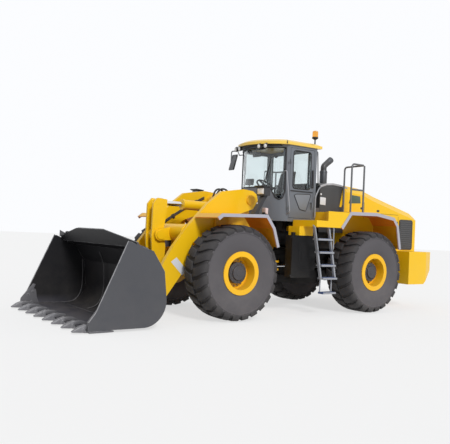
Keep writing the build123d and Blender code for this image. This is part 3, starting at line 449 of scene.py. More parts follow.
yellow = (0.85, 0.508, 0.005)
frameYellow = (0.8, 0.42, 0.006)
primer = (0.62, 0.46, 0.16)
# shaded: the colour of painted shade on faces that look down
shaded = (0.72, 0.25, 0.006)
lipGrey = (0.38, 0.375, 0.42)
looks = {
    "bodyYellow": paint(yellow, 0.38, coat=0.15, specular=0.3, bump=0.04, dust=0.06, deep=0.93, under=shaded,
        underFrom=-0.5, rub=0.25, bare=primer, slot="body_yellow"),
    # the roof's yellow, paler than the body's: the paleness is a painted reflection of the sky
    "roofYellowSheen": paint((0.84, 0.56, 0.09), 0.35, coat=0.25, specular=0.35, bump=0.03, dust=0.1, deep=0.95, rub=0.15,
        bare=primer),
    "chassisYellow": paint(frameYellow, 0.42, coat=0.1, specular=0.3, under=shaded, rub=0.3, bare=(0.5, 0.4, 0.2),
        dust=0.15, low=0.2),
    # the fenders' faces that look down get an orange painted shade
    "fenderYellow": paint(frameYellow, 0.42, coat=0.1, specular=0.3, under=(0.95, 0.26, 0.02), band=(1.454, lipGrey)),
    "rimYellow": paint((0.9, 0.49, 0.006), 0.38, coat=0.15, specular=0.3, rub=0.2, low=0.08, slot="body_yellow"),
    "cabGrey": paint((0.135, 0.148, 0.17), 0.42, coat=0.2, rub=0.2),
    "coverGrey": paint((0.042, 0.042, 0.044), 0.45, coat=0.1, rub=0.2),
    "panelGrey": paint((0.19, 0.205, 0.23), 0.45, coat=0.15, rub=0.15, slot="dark_paint"),
    "mirrorGlass": paint((0.55, 0.57, 0.6), 0.08, metal=1, bump=0.01, roughSpread=0.04, slot="rod_chrome"),
    "panelBrown": paint((0.075, 0.064, 0.062), 0.5, bump=0.06, slot="dark_paint"),
    "panelGreen": paint((0.05, 0.085, 0.05), 0.35, coat=0.3, bump=0.02, slot="dark_paint"),
    "stripGrey": paint((0.4, 0.4, 0.42), 0.4, coat=0.2, bump=0.04, slot="grey_paint"),
    "grilleBlack": paint((0.05, 0.05, 0.052), 0.45, bump=0.06),
    "tailRed": paint((0.45, 0.02, 0.015), 0.15, coat=0.7, bump=0.15, grain=90, slot="amber_plastic"),
    "heatSteel": paint((0.085, 0.09, 0.1), 0.4, metal=0.5, bump=0.12, grain=60, slot="dark_paint"),
    "blackPaint": paint((0.007, 0.007, 0.008), 0.5, specular=0.2, rub=0.2, bare=(0.12, 0.12, 0.12), dust=0.04,
        low=0.08),
    "railGrey": paint((0.12, 0.125, 0.135), 0.4, rub=0.3, slot="dark_paint"),
    "ladderGrey": paint((0.3, 0.31, 0.34), 0.42, rub=0.3, low=0.15, slot="grey_paint"),
    "stepBlue": paint((0.03, 0.07, 0.2), 0.45, bump=0.06, rub=0.6, bare=(0.35, 0.35, 0.36), slot="dark_paint"),
    "bucketGrey": paint((0.066, 0.068, 0.077), 0.5, specular=0.35,
        # inside: painted shade in the bucket's hollow, its floor low at the front paler as painted light
        inside=((3.55, 0, 0.75), (0.004, 0.004, 0.006), (0.05, 0.049, 0.062)), bump=0.08, rub=0.8, rubWidth=0.012,
        bare=(0.34, 0.34, 0.36), low=0.06, slot="bucket_grey"),
    # near-black for the guard's far wing: painted shade
    "guardShadeBlack": paint((0.012, 0.012, 0.016), 0.5, bump=0.1, low=0.05, dust=0.04, slot="bucket_grey"),
    "toothSteel": paint((0.17, 0.17, 0.185), 0.42, metal=0.35, bump=0.15, grain=90, rub=0.9, rubWidth=0.01,
        bare=(0.45, 0.45, 0.47), slot="worn_steel"),
    "cutterSteel": paint((0.1, 0.1, 0.112), 0.5, bump=0.15, grain=90, rub=0.9, rubWidth=0.01, bare=(0.4, 0.4, 0.42),
        slot="worn_steel"),
    # pale steel: wear on the bucket's rims, and a painted highlight on the guard's top edges
    "wornEdgeAndHighlight": paint((0.34, 0.34, 0.355), 0.42, metal=0.3, bump=0.15, grain=60, broad=9, deep=0.5,
        slot="worn_steel"),
    "weldBead": paint((0.05, 0.05, 0.057), 0.45, bump=0.5, grain=110, rub=0.4, bare=(0.2, 0.2, 0.21),
        slot="bucket_grey"),
    "bareSteel": paint((0.5, 0.5, 0.51), 0.35, metal=0.9, bump=0.06),
    "chrome": paint((0.82, 0.83, 0.85), 0.12, metal=1, bump=0.01, roughSpread=0.05, dust=0.03),
    "nutSteel": paint((0.42, 0.3, 0.13), 0.4, metal=0.3, bump=0.1, rub=0.5, bare=(0.5, 0.48, 0.42),
        slot="worn_steel"),
    "hubPaint": paint((0.045, 0.042, 0.048), 0.5, bump=0.15, grain=120, rub=0.3, slot="dark_casting"),
    "hoseRubber": paint((0.018, 0.018, 0.02), 0.55, bump=0.12, grain=320),
    "sealRubber": paint((0.012, 0.012, 0.013), 0.6, bump=0.08),
    "blackPlastic": paint((0.025, 0.025, 0.028), 0.5, bump=0.12, grain=400),
    "tyreSide": paint((0.098, 0.092, 0.099), 0.78, specular=0.3, bump=0.16, grain=140, deep=0.75, dust=0.15, low=0.35,
        dustColour=(0.22, 0.2, 0.19)),
    # the tread's rubber, darker than the sidewall's: painted shade
    "tyreTreadShaded": paint((0.045, 0.042, 0.044), 0.82, specular=0.3, bump=0.2, grain=110, deep=0.7, rub=0.5,
        rubWidth=0.012, bare=(0.16, 0.155, 0.16), dust=0.25, low=0.25, dustColour=(0.22, 0.21, 0.2),
        slot="tyre_rubber"),
    "lensWhite": paint((0.8, 0.8, 0.78), 0.12, coat=0.8, bump=0.3, grain=60, slot="grey_paint"),
    "labelWhite": paint((0.66, 0.67, 0.7), 0.45, bump=0.02, slot="grey_paint"),
    "pinkLens": paint((0.7, 0.55, 0.53), 0.2, coat=0.8, bump=0.2, grain=60, slot="amber_plastic"),
    "seatCloth": paint((0.05, 0.052, 0.06), 0.85, bump=0.5, grain=700, sheen=0.25, slot="seat_fabric"),
}
finish = {name: coating(name, look) for name, look in looks.items()}
print("finishes made:", len(finish))


def clearGlass(name, tint, rough=0.0):
    material, tree, shader = blank(name)
    shader.inputs["Transmission Weight"].default_value = 1.0
    shader.inputs["IOR"].default_value = 1.45
    grain = placed(tree, fineGrain, Scale=60.0, Large=1.2)
    base = mixed(tree, grain.outputs["Broad"], opaque([part * 0.93 for part in tint]), opaque(tint))
    tree.links.new(base, shader.inputs["Base Color"])
    smear = maths(tree, "SUBTRACT", grain.outputs["Broad"], 0.5, clamp=True)
    smear = maths(tree, "MULTIPLY", smear, 0.12)
    tree.links.new(maths(tree, "ADD", smear, rough), shader.inputs["Roughness"])
    return material


cabGlass = clearGlass("cabGlass", (0.87, 0.93, 0.935))
amberGlass = clearGlass("amberGlass", (0.95, 0.42, 0.05), 0.15)

# finishes of the frame's own parts
corners = ["front_left", "front_right", "rear_left", "rear_right"]
dress = {
    "bodyYellow": ["hood", "counterweight", "boom", "bell_crank", "side_platforms", "tilt_barrel", "link",
        "bellcrank_pin", "lift_barrels"],
    "roofYellowSheen": ["cab_roof"],
    "chassisYellow": ["front_frame", "front_tower_left", "front_tower_right"],
    "fenderYellow": ["rear_fenders", "front_fenders"],
    "cabGrey": ["cab_frame", "cab_door"],
    "coverGrey": ["engine_cover", "rear_grilles", "exhaust_stack"],
    "blackPaint": ["rear_frame", "rear_rail_left", "rear_rail_right", "tank_boxes", "rear_axle", "front_axle",
        "gearbox", "engine_block", "front_shaft", "steer_barrel_left", "steer_barrel_right"],
    "railGrey": ["handrails", "mirror", "door_hinges"],
    "ladderGrey": ["ladders"],
    "bucketGrey": ["bucket"],
    "toothSteel": ["bucket_teeth"],
    "bareSteel": ["hinge_pins", "link_pin", "bucket_pins"],
    "chrome": ["tilt_rod", "lift_rods", "steer_rod_left", "steer_rod_right"],
    "blackPlastic": ["steering_column", "headlights"],
    "seatCloth": ["cab_seat"],
    "rimYellow": ["rim_" + corner for corner in corners],
    "tyreSide": ["tyre_" + corner for corner in corners],
}
for look, nodes in dress.items():
    for node in nodes:
        wear(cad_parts[node], finish[look])
for node, material in (("cab_glass", cabGlass), ("door_glass", cabGlass), ("beacon", amberGlass)):
    wear(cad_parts[node], material)
print("frame dressed")

# tyres: a moulded carcass with two rows of curved lugs, staggered by half a pitch
tyre = dict(lugs=24, width=0.148, lugRadius=0.85, smoothRadius=0.768, wheelbase=3.6, front=1.37, track=1.15,
    height=0.875)
sidewall = [(0.334, 0.281), (0.392, 0.281), (0.43, 0.3), (0.47, 0.318), (0.52, 0.326), (0.58, 0.333), (0.65, 0.332)]
shoulder = [(0.705, 0.324), (0.718, 0.323), (0.724, 0.331), (0.738, 0.331), (0.744, 0.323), (0.765, 0.318)]
crown = [(0.79, 0.302), (0.812, 0.275), (0.826, 0.2), (0.83, 0.1), (0.831, 0)]
half = sidewall + shoulder + crown
around = half + [(radius, -along) for radius, along in reversed(half[:-1])] + half[:1]
lugLine = [(0.02, 0, 0.81, 0.8705), (0.09, 0.01, 0.81, 0.87), (0.17, 0.022, 0.808, 0.867), (0.23, 0.025, 0.8, 0.862),
    (0.28, 0.025, 0.785, 0.848), (0.315, 0.02, 0.762, 0.826), (0.3345, 0.01, 0.742, 0.798)]
pieces = [turned(around, (0, 0, 0), (0, 1, 0), 96)]
for hand in (1, -1):
    stations = [((0, hand * y, (foot + outer) / 2), (tyre["width"], 1, outer - foot))
        for y, lean, foot, outer in lugLine]
    lug = swept(stations, "Y")
    for y, lean, foot, outer in lugLine[1:]:  # each station and all beyond it turn a little further round
        choose(lug, lambda spot: abs(spot.y) > y - 0.003, "VERT")
        bpy.ops.transform.rotate(value=lean / tyre["lugRadius"], orient_axis="Y", center_override=(0, 0, 0))
        leave()
    softened(lug, 0.008, angle=38)
    for i in range(tyre["lugs"]):
        pieces.append(copyOf(lug, turn=2 * math.pi * (i + (hand < 0) / 2) / tyre["lugs"], axis="Y"))
    bpy.data.objects.remove(lug)
tyreModel = joined(pieces)

# wheel dressing: a ring of nuts, the dark hub cover with its bolts, a lock ring and a valve
wheel = dict(nuts=20, nutCircle=0.243, nutSeat=0.074, bolts=12, boltCircle=0.157, boltSeat=0.193)
nutOutline = [(0, 0), (0.022, 0), (0.022, 0.006), (0.016, 0.008), (0.016, 0.024), (0.012, 0.028), (0.009, 0.029),
    (0.009, 0.036), (0, 0.038)]
hubOutline = [(0, 0.06), (0.194, 0.06), (0.194, 0.182), (0.188, 0.191), (0.138, 0.195), (0.133, 0.2), (0.131, 0.224),
    (0.124, 0.23), (0.06, 0.232), (0.056, 0.237), (0.04, 0.239), (0, 0.239)]
ringOutline = [(0.302, 0.262), (0.311, 0.281), (0.318, 0.285), (0.331, 0.286), (0.338, 0.281), (0.341, 0.262),
    (0.302, 0.262)]


def ringOf(model, count):
    copies = [copyOf(model, turn=2 * math.pi * i / count, axis="Y") for i in range(count)]
    bpy.data.objects.remove(model)
    return joined(copies)


nut = turned(nutOutline, (0, wheel["nutSeat"], wheel["nutCircle"]), (0, 1, 0), 6)
nutRing = ringOf(nut, wheel["nuts"])
bolt = turned([(radius * 0.62, along * 0.5) for radius, along in nutOutline],
    (0, wheel["boltSeat"], wheel["boltCircle"]), (0, 1, 0), 6)
hubCover = joined([turned(hubOutline, (0, 0, 0), (0, 1, 0), 64), ringOf(bolt, wheel["bolts"])])
valve = joined([rodBetween((0, 0.2, 0.296), (0, 0.268, 0.286), 0.006, 12, 0.001),
    rodBetween((0, 0.268, 0.286), (0, 0.285, 0.284), 0.009, 12, 0.002)])
lockRing = joined([turned(ringOutline, (0, 0, 0), (0, 1, 0), 96), valve])
for end, x in (("front", tyre["front"]), ("rear", tyre["front"] - tyre["wheelbase"])):
    for handName, hand in (("left", 1), ("right", -1)):
        body = f"wheel_{end}_{handName}"
        place = (x, hand * tyre["track"], tyre["height"])
        # the tread gets the darker rubber of painted shade, the sidewalls the plain rubber
        rubber = finished(copyOf(tyreModel, move=place), f"{end}_{handName}_tyre", "tyreTreadShaded", body, smooth=35)
        rubber.data.materials.append(finish["tyreSide"])
        for face in rubber.data.polygons:
            face.material_index = int(math.hypot(face.center.x - x, face.center.z - place[2]) < tyre["smoothRadius"])
        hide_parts(f"tyre_{end}_{handName}")
        out = 0 if hand == 1 else math.pi
        for model, label, look in (
            (nutRing, "nuts", "nutSteel"),
            (hubCover, "hub_cover", "hubPaint"),
            (lockRing, "lock_ring", "rimYellow"),
        ):
            finished(copyOf(model, move=place, turn=out), f"{end}_{handName}_{label}", look, body)
for model in (tyreModel, nutRing, hubCover, lockRing):
    bpy.data.objects.remove(model)
print("tyres and wheels made")


# bucket teeth: an adapter wrapped over the blade and a pointed tooth pinned to it
tooth = dict(count=8, pitch=0.42, first=-1.47)
adapterLine = [(4.105, 0.082, 0.06, 0.004), (4.12, 0.087, 0.085, 0.02), (4.17, 0.097, 0.108, 0.042),
    (4.25, 0.103, 0.112, 0.054), (4.327, 0.1, 0.112, 0.06), (4.333, 0.066, 0.112, 0.118),
    (4.365, 0.065, 0.106, 0.104), (4.385, 0.064, 0.1, 0.09)]
pointLine = [(4.37, 0.064, 0.098, 0.096), (4.38, 0.064, 0.1, 0.1), (4.41, 0.059, 0.096, 0.088),
    (4.45, 0.05, 0.084, 0.064), (4.49, 0.039, 0.07, 0.038), (4.515, 0.032, 0.058, 0.024),
    (4.527, 0.029, 0.048, 0.014)]
pieces = [softened(barOf(adapterLine), 0.008, angle=50), softened(barOf(pointLine), 0.006, angle=50)]
under = barOf([(4.16, 0.024, 0.09, 0.028), (4.2, 0.023, 0.108, 0.032), (4.335, 0.024, 0.112, 0.034)])
pieces.append(softened(under, 0.005))
for y in (-0.056, 0.056):
    pieces.append(turned([(0, -0.004), (0.014, -0.004), (0.014, 0.002), (0.01, 0.005), (0, 0.005)], (4.352, y, 0.072),
        (0, 1 if y > 0 else -1, 0), 16))
toothModel = joined(pieces)
teeth = joined([copyOf(toothModel, move=(0, tooth["first"] + tooth["pitch"] * i, 0)) for i in range(tooth["count"])])
bpy.data.objects.remove(toothModel)
finished(teeth, "pointed_teeth", "toothSteel", "bucket")
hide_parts("bucket_teeth")

# bucket dressing: side cutters with shoes, bright rims, weld beads, the guard's edge with a painted highlight, its
# wing of painted shade and its gusset, ribs
bucket = dict(weldSide=1.5963, rimSide=1.586, backSide=1.56, seamEnd=1.568, ribs=(-1.3, -1.05, 1.05, 1.3))
pieces = [plate([(4.318, 0.03), (4.324, 0.18), (4.222, 0.306), (4.1, 0.45), (4.05, 0.44), (4.08, 0.36), (4.04, 0.33),
    (4.02, 0.2), (3.96, 0.045)], 1.552, 1.572, bevel=0.004)]
edgeLine = [(4.1, 0.45), (4.05, 0.44), (4.08, 0.36), (4.04, 0.33), (4.02, 0.2), (3.96, 0.06)]
pieces += [rodBetween((x, bucket["weldSide"], z), (nextX, bucket["weldSide"], nextZ), 0.0035, 8)
    for (x, z), (nextX, nextZ) in zip(edgeLine, edgeLine[1:])]
for x, z in ((4.25, 0.1), (4.12, 0.1), (4.19, 0.24), (4.1, 0.3)):
    pieces.append(turned([(0, 0), (0.026, 0), (0.024, 0.008), (0, 0.012)], (x, 1.555, z), (0, -1, 0), 20))
shoe = swept([((3.9, 1.577, 0.02), (1, 0.04, 0.02)), ((4.0, 1.575, 0.022), (1, 0.046, 0.03)),
    ((4.3, 1.575, 0.022), (1, 0.046, 0.03))])
pieces.append(softened(shoe, 0.004))
finished(bothSides(pieces), "side_cutters", "cutterSteel", "bucket")

frontEdge = [(4.314, 0.17), (4.208, 0.302), (3.714, 1.404)]
rims = [rodBetween((x, bucket["rimSide"], z), (nextX, bucket["rimSide"], nextZ), 0.009, 10)
    for (x, z), (nextX, nextZ) in zip(frontEdge, frontEdge[1:])]
finished(bothSides(rims), "worn_rims", "wornEdgeAndHighlight", "bucket")

backLine = [(3.095, 0.52), (3.1, 0.42), (3.115, 0.32), (3.15, 0.22), (3.22, 0.13), (3.3, 0.09), (3.4, 0.076)]
pieces = [pipe([(x, bucket["backSide"], z) for x, z in [(3.115, 0.93), (3.1, 0.75)] + backLine
    + [(3.7, 0.075), (4.2, 0.084)]], 0.009, 8)]
pieces.append(pipe([(x + 0.01, 0.535, z + 0.005) for x, z in [(3.22, 1.13), (3.12, 0.93), (3.1, 0.75)] + backLine],
    0.007, 8))
finished(bothSides(pieces), "bucket_welds", "weldBead", "bucket")
seams = []
for x, z, radius in ((3.2885, 1.24, 0.008), (3.53, 0.075, 0.006)):
    seams.append(rodBetween((x, -bucket["seamEnd"], z), (x, bucket["seamEnd"], z), radius, 8))
finished(seams, "cross_seams", "weldBead", "bucket")

# the wing on the guard's far corner: a near-black plate of painted shade
wing = plate([(-1.598, 1.375), (-1.598, 1.5), (-1.34, 1.455), (-1.2, 1.44)], 3.6, 3.608, axis="X", bevel=0.002)
gusset = plate([(3.44, 1.36), (3.46, 1.5), (3.53, 1.38)], -0.83, -0.79, bevel=0.004)
knob = turned([(0, 0), (0.03, 0), (0.045, 0.02), (0.045, 0.05), (0.03, 0.065), (0, 0.068)], (3.6, -1.2, 1.42),
    (0, 0, 1), 24)
# the guard's top edges as pale rods: a painted highlight
strip = rodBetween((3.668, -0.47, 1.563), (3.668, 0.47, 1.563), 0.009, 10)
slopes = [rodBetween((3.66, hand * 0.5, 1.556), (3.54, hand * 1.56, 1.378), 0.011, 10) for hand in (1, -1)]
finished([strip] + slopes, "guard_edge_highlight", "wornEdgeAndHighlight", "bucket")
finished(wing, "guard_wing_shade", "guardShadeBlack", "bucket")
finished([gusset, knob], "guard_gusset", "bucketGrey", "bucket")
ribLine = [(3.004, 0.45), (2.94, 0.52), (2.99, 0.945), (3.225, 1.295), (3.49, 1.375), (3.515, 1.332), (3.265, 1.256),
    (3.045, 0.93)]
ribs = [plate(ribLine, y - 0.012, y + 0.012, bevel=0.003) for y in bucket["ribs"]]
finished(ribs, "bucket_ribs", "bucketGrey", "bucket")
print("bucket dressed")


# cab: window seals, the door's panel and handle, rails, visor, lamps, wiper, mirror and the beacon's foot
cab = dict(arcCentre=-0.8962, arcRadius=0.9862, roofCentre=-0.7273, visorRadius=0.935, sill=2.572, lintel=3.386,
    side=0.771, rear=-1.052)


def frontAt(y, off=0.0):  # how far forward the bowed front stands at y
    return cab["arcCentre"] + math.sqrt((cab["arcRadius"] + off) ** 2 - y * y)


def sideAt(x, off=0.0):  # half width of the bowed front at x
    return math.sqrt((cab["arcRadius"] + off) ** 2 - (x - cab["arcCentre"]) ** 2)


def frameOf(low, high, y, radius, bend):  # a closed seal round an upright window in the side
    (x, z), (farX, farZ) = low, high
    middle = ((x + farX) / 2, y, farZ)
    return bent([middle, (farX, y, farZ), (farX, y, z), (x, y, z), (x, y, farZ), middle], radius, bend, 8)


down = [(-0.222, 3.386), (-0.222, 2.48), (-0.19, 2.352), (-0.14, 2.313), (-0.09, 2.352), (-0.04, 2.532), (0, 2.572)]
nearSide = [(x, sideAt(x, 0.003), z) for x, z in down]
farSide = [(x, -y, z) for x, y, z in reversed(nearSide)]
sill = [(frontAt(y, 0.003), y, cab["sill"]) for y in (0.3, 0.15, 0, -0.15, -0.3)]
lintel = [(frontAt(y, 0.003), y, cab["lintel"]) for y in (-0.6, -0.45, -0.3, -0.15, 0, 0.15, 0.3, 0.45, 0.6)]
frontSeal = bent(nearSide + sill + farSide + lintel + nearSide[:1], 0.011, 0.03, 8)
rightSeal = frameOf((-0.977, 2.523), (-0.303, 3.387), -cab["side"], 0.01, 0.03)
rearLine = [(0, 3.386), (0.656, 3.386), (0.656, 2.524), (-0.656, 2.524), (-0.656, 3.386), (0, 3.386)]
rearSeal = bent([(cab["rear"], y, z) for y, z in rearLine], 0.01, 0.03, 8)
finished([frontSeal, rightSeal, rearSeal], "window_seals", "sealRubber")
finished(frameOf((-0.884, 2.561), (-0.386, 3.349), cab["side"], 0.01, 0.075), "door_window_seal", "sealRubber",
    "cab_door")

panel = [(-0.44, 2.42), (-0.6, 2.14), (-0.78, 2.11), (-0.91, 2.45), (-0.87, 2.47), (-0.49, 2.45)]
rim = bent([(x, 0.776, z) for x, z in panel + panel[:1]], 0.007, 0.03, 8)
ledge = box((-0.64, 0.776, 2.512), (0.62, 0.014, 0.026), bevel=0.005)
finished(plate(panel, 0.764, 0.775, bevel=0.003), "door_panel", "panelGrey", "cab_door")
finished([rim, ledge], "door_panel_rim", "blackPlastic", "cab_door")
handle = swept([((-0.934, 0.786, 2.6), (0.034, 0.024, 1)), ((-0.934, 0.79, 2.62), (0.04, 0.036, 1)),
    ((-0.934, 0.79, 2.96), (0.04, 0.036, 1)), ((-0.934, 0.786, 2.98), (0.034, 0.024, 1))], "Z")
finished(softened(handle, 0.006), "door_handle", "blackPlastic", "cab_door")

frontRail = bent([(-0.205, 0.70, 2.9), (-0.185, 0.8, 2.91), (-0.25, 0.862, 2.06), (-0.262, 0.755, 2.03)], 0.013, 0.05)
rearRail = bent([(-1, 0.768, 1.97), (-1, 0.825, 1.99), (-1, 0.825, 2.44), (-1.11, 0.815, 2.62), (-1.2, 0.762, 2.64)],
    0.013, 0.07)
drain = bent([(-1.04, 0.7, 3.4), (-1.1, 0.735, 3.4), (-1.135, 0.745, 2.72), (-1.2, 0.745, 2.68)], 0.012, 0.04)
finished([frontRail, rearRail], "cab_grab_rails", "ladderGrey")
finished(drain, "cab_rear_pipe", "railGrey")

sweep = [i * 0.12 - 0.66 for i in range(12)]
visor = [(cab["roofCentre"] + math.sqrt(cab["visorRadius"] ** 2 - y * y), y) for y in sweep] + [(frontAt(y, 0.002), y)
    for y in reversed(sweep)]
roofGaps = [box((-0.165, hand * 0.8055, 3.492), (0.014, 0.006, 0.07), bevel=0.002) for hand in (1, -1)]
finished([plate(visor, 3.424, 3.45, axis="Z", bevel=0.004)] + roofGaps, "roof_visor", "sealRubber")


def lampAt(place, facing, radius=0.05, depth=0.06):  # a round work lamp: its bowl and its lens
    bowl = turned([(0, -depth), (radius * 0.55, -depth), (radius * 0.92, -depth * 0.45), (radius, -depth * 0.1),
        (radius, 0.006), (radius * 0.88, 0.008), (radius * 0.86, 0), (0, 0)], place, facing, 32)
    lens = turned([(0, -0.002), (radius * 0.87, -0.002), (radius * 0.87, 0.003), (radius * 0.5, 0.011), (0, 0.013)],
        place, facing, 32)
    return bowl, lens


bowls, lenses = [], []
for place, facing in (((0.165, 0.5, 3.397), (1, 0.2, -0.1)), ((0.2, 0.33, 3.397), (1, 0.1, -0.1)),
    ((-1.1, 0.6, 3.4), (-1, 0.1, -0.15))):
    for hand in (1, -1):
        bowl, lens = lampAt((place[0], hand * place[1], place[2]), (facing[0], hand * facing[1], facing[2]))
        bowls += [bowl, box((place[0] - facing[0] * 0.03, hand * place[1], place[2] + 0.045), (0.02, 0.05, 0.04),
            bevel=0.004)]
        lenses.append(lens)
finished(bowls, "roof_lamp_bowls", "blackPlastic")
finished(lenses, "roof_lamp_lenses", "lensWhite")

wiperBlade = swept([((0.036, 0.388, 2.62), (0.014, 0.01, 1)), ((0.012, 0.44, 2.9), (0.02, 0.014, 1)),
    ((-0.012, 0.493, 3.17), (0.014, 0.01, 1))], "Z")
wiperArm = bent([(0.05, 0.3, 2.5), (0.085, 0.31, 2.52), (0.05, 0.4, 2.72), (0.028, 0.43, 2.88)], 0.007, 0.03, 8)
wiperMotor = box((0.055, 0.3, 2.49), (0.05, 0.09, 0.06), bevel=0.012)
finished([wiperBlade, wiperArm, wiperMotor], "wiper", "sealRubber")

mirrorRim = box((-0.334, -1.2075, 3.215), (0.012, 0.15, 0.33), turn=(0, -0.264, 0), bevel=0.004)
finished(mirrorRim, "mirror_glass", "mirrorGlass")
beaconPlace = [(low + high) / 2 for low, high in zip(*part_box("beacon"))]
beaconBase = turned([(0, -0.03), (0.03, -0.03), (0.05, -0.012), (0.066, -0.008), (0.066, 0.022), (0.06, 0.026),
    (0, 0.026)], (beaconPlace[0], beaconPlace[1], 3.702), (0, 0, 1), 40)
beaconPost = turned([(0, 0), (0.03, 0), (0.03, 0.012), (0.015, 0.016), (0.0145, 0.155), (0, 0.155)],
    (beaconPlace[0], beaconPlace[1], 3.53), (0, 0, 1), 24)
finished([beaconBase, beaconPost], "beacon_foot", "sealRubber")

# inside the cab: a sprung seat with padded cushions, armrests, consoles, dash and mirror
seat = dict(fill=0.6, cap=0.014)


def plumped(piece, cap):  # a cushion filled by pressure, held to a small swell
    modified(piece, "REMESH", mode="VOXEL", voxel_size=0.011)
    rest = [spot.co.copy() for spot in piece.data.vertices]
    pick(piece)
    bpy.ops.object.modifier_add(type="CLOTH")
    cloth = piece.modifiers[-1]
    cloth.settings.use_pressure = True
    cloth.settings.uniform_pressure_force = 4
    cloth.settings.effector_weights.gravity = 0
    for step in range(1, 21):
        scene.frame_set(step)
    bpy.ops.object.modifier_apply(modifier=cloth.name)
    scene.frame_set(1)
    for spot, start in zip(piece.data.vertices, rest):
        step = spot.co - start
        if step.length > cap:
            spot.co = start + step * (cap / step.length)
    return modified(piece, "SUBSURF", levels=1, render_levels=1)


def cushion(name, stations, axis, bevel):
    pad = swept(stations, axis)
    softened(pad, bevel, 3, 50)
    plumped(pad, seat["cap"])
    finished(pad, name, "seatCloth", smooth=60)
    return pad


base = cushion("seat_cushion", [((-0.85, 0, 2.425), (1, 0.44, 0.07)), ((-0.7, 0, 2.415), (1, 0.46, 0.08)),
    ((-0.5, 0, 2.425), (1, 0.46, 0.085)), ((-0.405, 0, 2.415), (1, 0.42, 0.06))], "X", 0.024)
cushion("seat_back", [((-0.82, 0, 2.49), (0.08, 0.4, 1)), ((-0.835, 0, 2.6), (0.085, 0.43, 1)),
    ((-0.875, 0, 2.8), (0.08, 0.42, 1)), ((-0.91, 0, 2.98), (0.07, 0.36, 1))], "Z", 0.024)
cushion("head_rest", [((-0.92, 0, 3.02), (0.06, 0.2, 1)), ((-0.925, 0, 3.1), (0.07, 0.23, 1)),
    ((-0.935, 0, 3.21), (0.055, 0.19, 1))], "Z", 0.02)
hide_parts("cab_seat")
bellows = [((-0.65, 0, 1.945 + 0.035 * i), (0.3 + 0.03 * (i % 2), 0.34 + 0.03 * (i % 2), 1)) for i in range(10)]
pan = swept([((-0.64, 0, 2.29), (0.4, 0.4, 1)), ((-0.635, 0, 2.34), (0.46, 0.47, 1)),
    ((-0.635, 0, 2.372), (0.47, 0.48, 1))], "Z")
shell = plate([(-0.87, 2.4), (-0.905, 2.42), (-0.99, 2.99), (-0.965, 2.99)], -0.2, 0.2, bevel=0.008)
rests = [box((-0.68, hand * 0.29, 2.62), (0.3, 0.06, 0.045), turn=(0, 0.08, 0), bevel=0.015) for hand in (1, -1)]
posts = [rodBetween((-0.81, hand * 0.27, 2.4), (-0.8, hand * 0.29, 2.62), 0.014, 12, 0.003) for hand in (1, -1)]
stalks = [rodBetween((-0.93, hand * 0.06, 2.94), (-0.93, hand * 0.06, 3.06), 0.007, 10, 0.002) for hand in (1, -1)]
finished([swept(bellows, "Z"), pan, shell] + rests + posts + stalks, "seat_frame", "blackPlastic")
seams = [bent([(-0.84, y, 2.476), (-0.6, y, 2.474), (-0.42, y, 2.462)], 0.004, 0.05, 6) for y in (-0.13, 0.13)]
seams += [bent([(-0.775, y, 2.52), (-0.79, y, 2.62), (-0.87, y, 2.95)], 0.004, 0.05, 6) for y in (-0.12, 0.12)]
finished(seams, "seat_seams", "sealRubber", slot="seat_fabric")

console = swept([((-0.9, -0.44, 2.2), (1, 0.2, 0.34)), ((-0.6, -0.44, 2.24), (1, 0.22, 0.4)),
    ((-0.38, -0.44, 2.22), (1, 0.2, 0.36)), ((-0.28, -0.44, 2.12), (1, 0.16, 0.2))])
softened(console, 0.02, 3)
levers = []
for x, y in ((-0.42, -0.4), (-0.42, -0.47)):
    levers.append(rodBetween((x, y, 2.4), (x + 0.02, y, 2.52), 0.008, 10, 0.002))
    levers.append(turned([(0, -0.03), (0.014, -0.03), (0.02, 0), (0.016, 0.03), (0, 0.036)], (x + 0.024, y, 2.54),
        (0.1, 0, 1), 16))
near, far = frontAt(0.2) - 0.3, frontAt(0.2) - 0.07
dash = plate([(far, 2.44), (near, 2.4), (near, 2.3), (far, 2.2)], -0.36, 0.36, bevel=0.02)
screen = box((-0.2, -0.42, 2.72), (0.03, 0.2, 0.14), turn=(0, -0.2, 0.4), bevel=0.008)
screenFoot = rodBetween((-0.17, -0.44, 2.46), (-0.2, -0.42, 2.68), 0.012, 12)
innerMirror = box((-0.02, 0.02, 3.27), (0.03, 0.26, 0.1), turn=(0, 0.15, 0), bevel=0.012)
mirrorFoot = rodBetween((0, 0.02, 3.4), (-0.01, 0.02, 3.3), 0.008, 10)
blind = box((-0.02, 0, 3.375), (0.12, 0.5, 0.03), turn=(0, 0.25, 0), bevel=0.01)
finished([console, dash, screen, screenFoot, innerMirror, mirrorFoot, blind] + levers, "cab_consoles", "blackPlastic")
lining = [box((-0.955, hand * 0.66, 2.7), (0.05, 0.1, 1.3), bevel=0.015) for hand in (1, -1)]
finished(lining, "cab_lining", "panelGrey", slot="black_plastic")
print("cab fitted out")


# engine cover and hood: pale strips, plain labels, panels, seams, latches, louvres and tail lamps
strip = plate([(-1.19, 2.64), (-1.19, 2.69), (-1.37, 2.742), (-1.56, 2.762), (-1.8, 2.745), (-2.02, 2.7),
    (-2.02, 2.665), (-1.8, 2.705), (-1.56, 2.722), (-1.37, 2.7)], 0.758, 0.772, bevel=0.003)
finished(bothSides(strip), "cover_strips", "stripGrey")
label = plate([(-1.2, 2.28), (-1.365, 2.27), (-1.37, 2.43), (-1.2, 2.44)], 0.7605, 0.764, bevel=0.001)
dot = turned([(0, 0), (0.024, 0), (0.022, 0.004), (0, 0.005)], (-1.225, 0.76, 2.5), (0, 1, 0), 24)
armLabel = plate([(2.412, 1.03), (2.3, 1.11), (2.06, 0.87), (2.167, 0.785)], 0.7195, 0.7225, bevel=0.001)
finished([label, dot], "blank_cover_label", "labelWhite")
finished(armLabel, "blank_arm_label", "labelWhite", "boom")
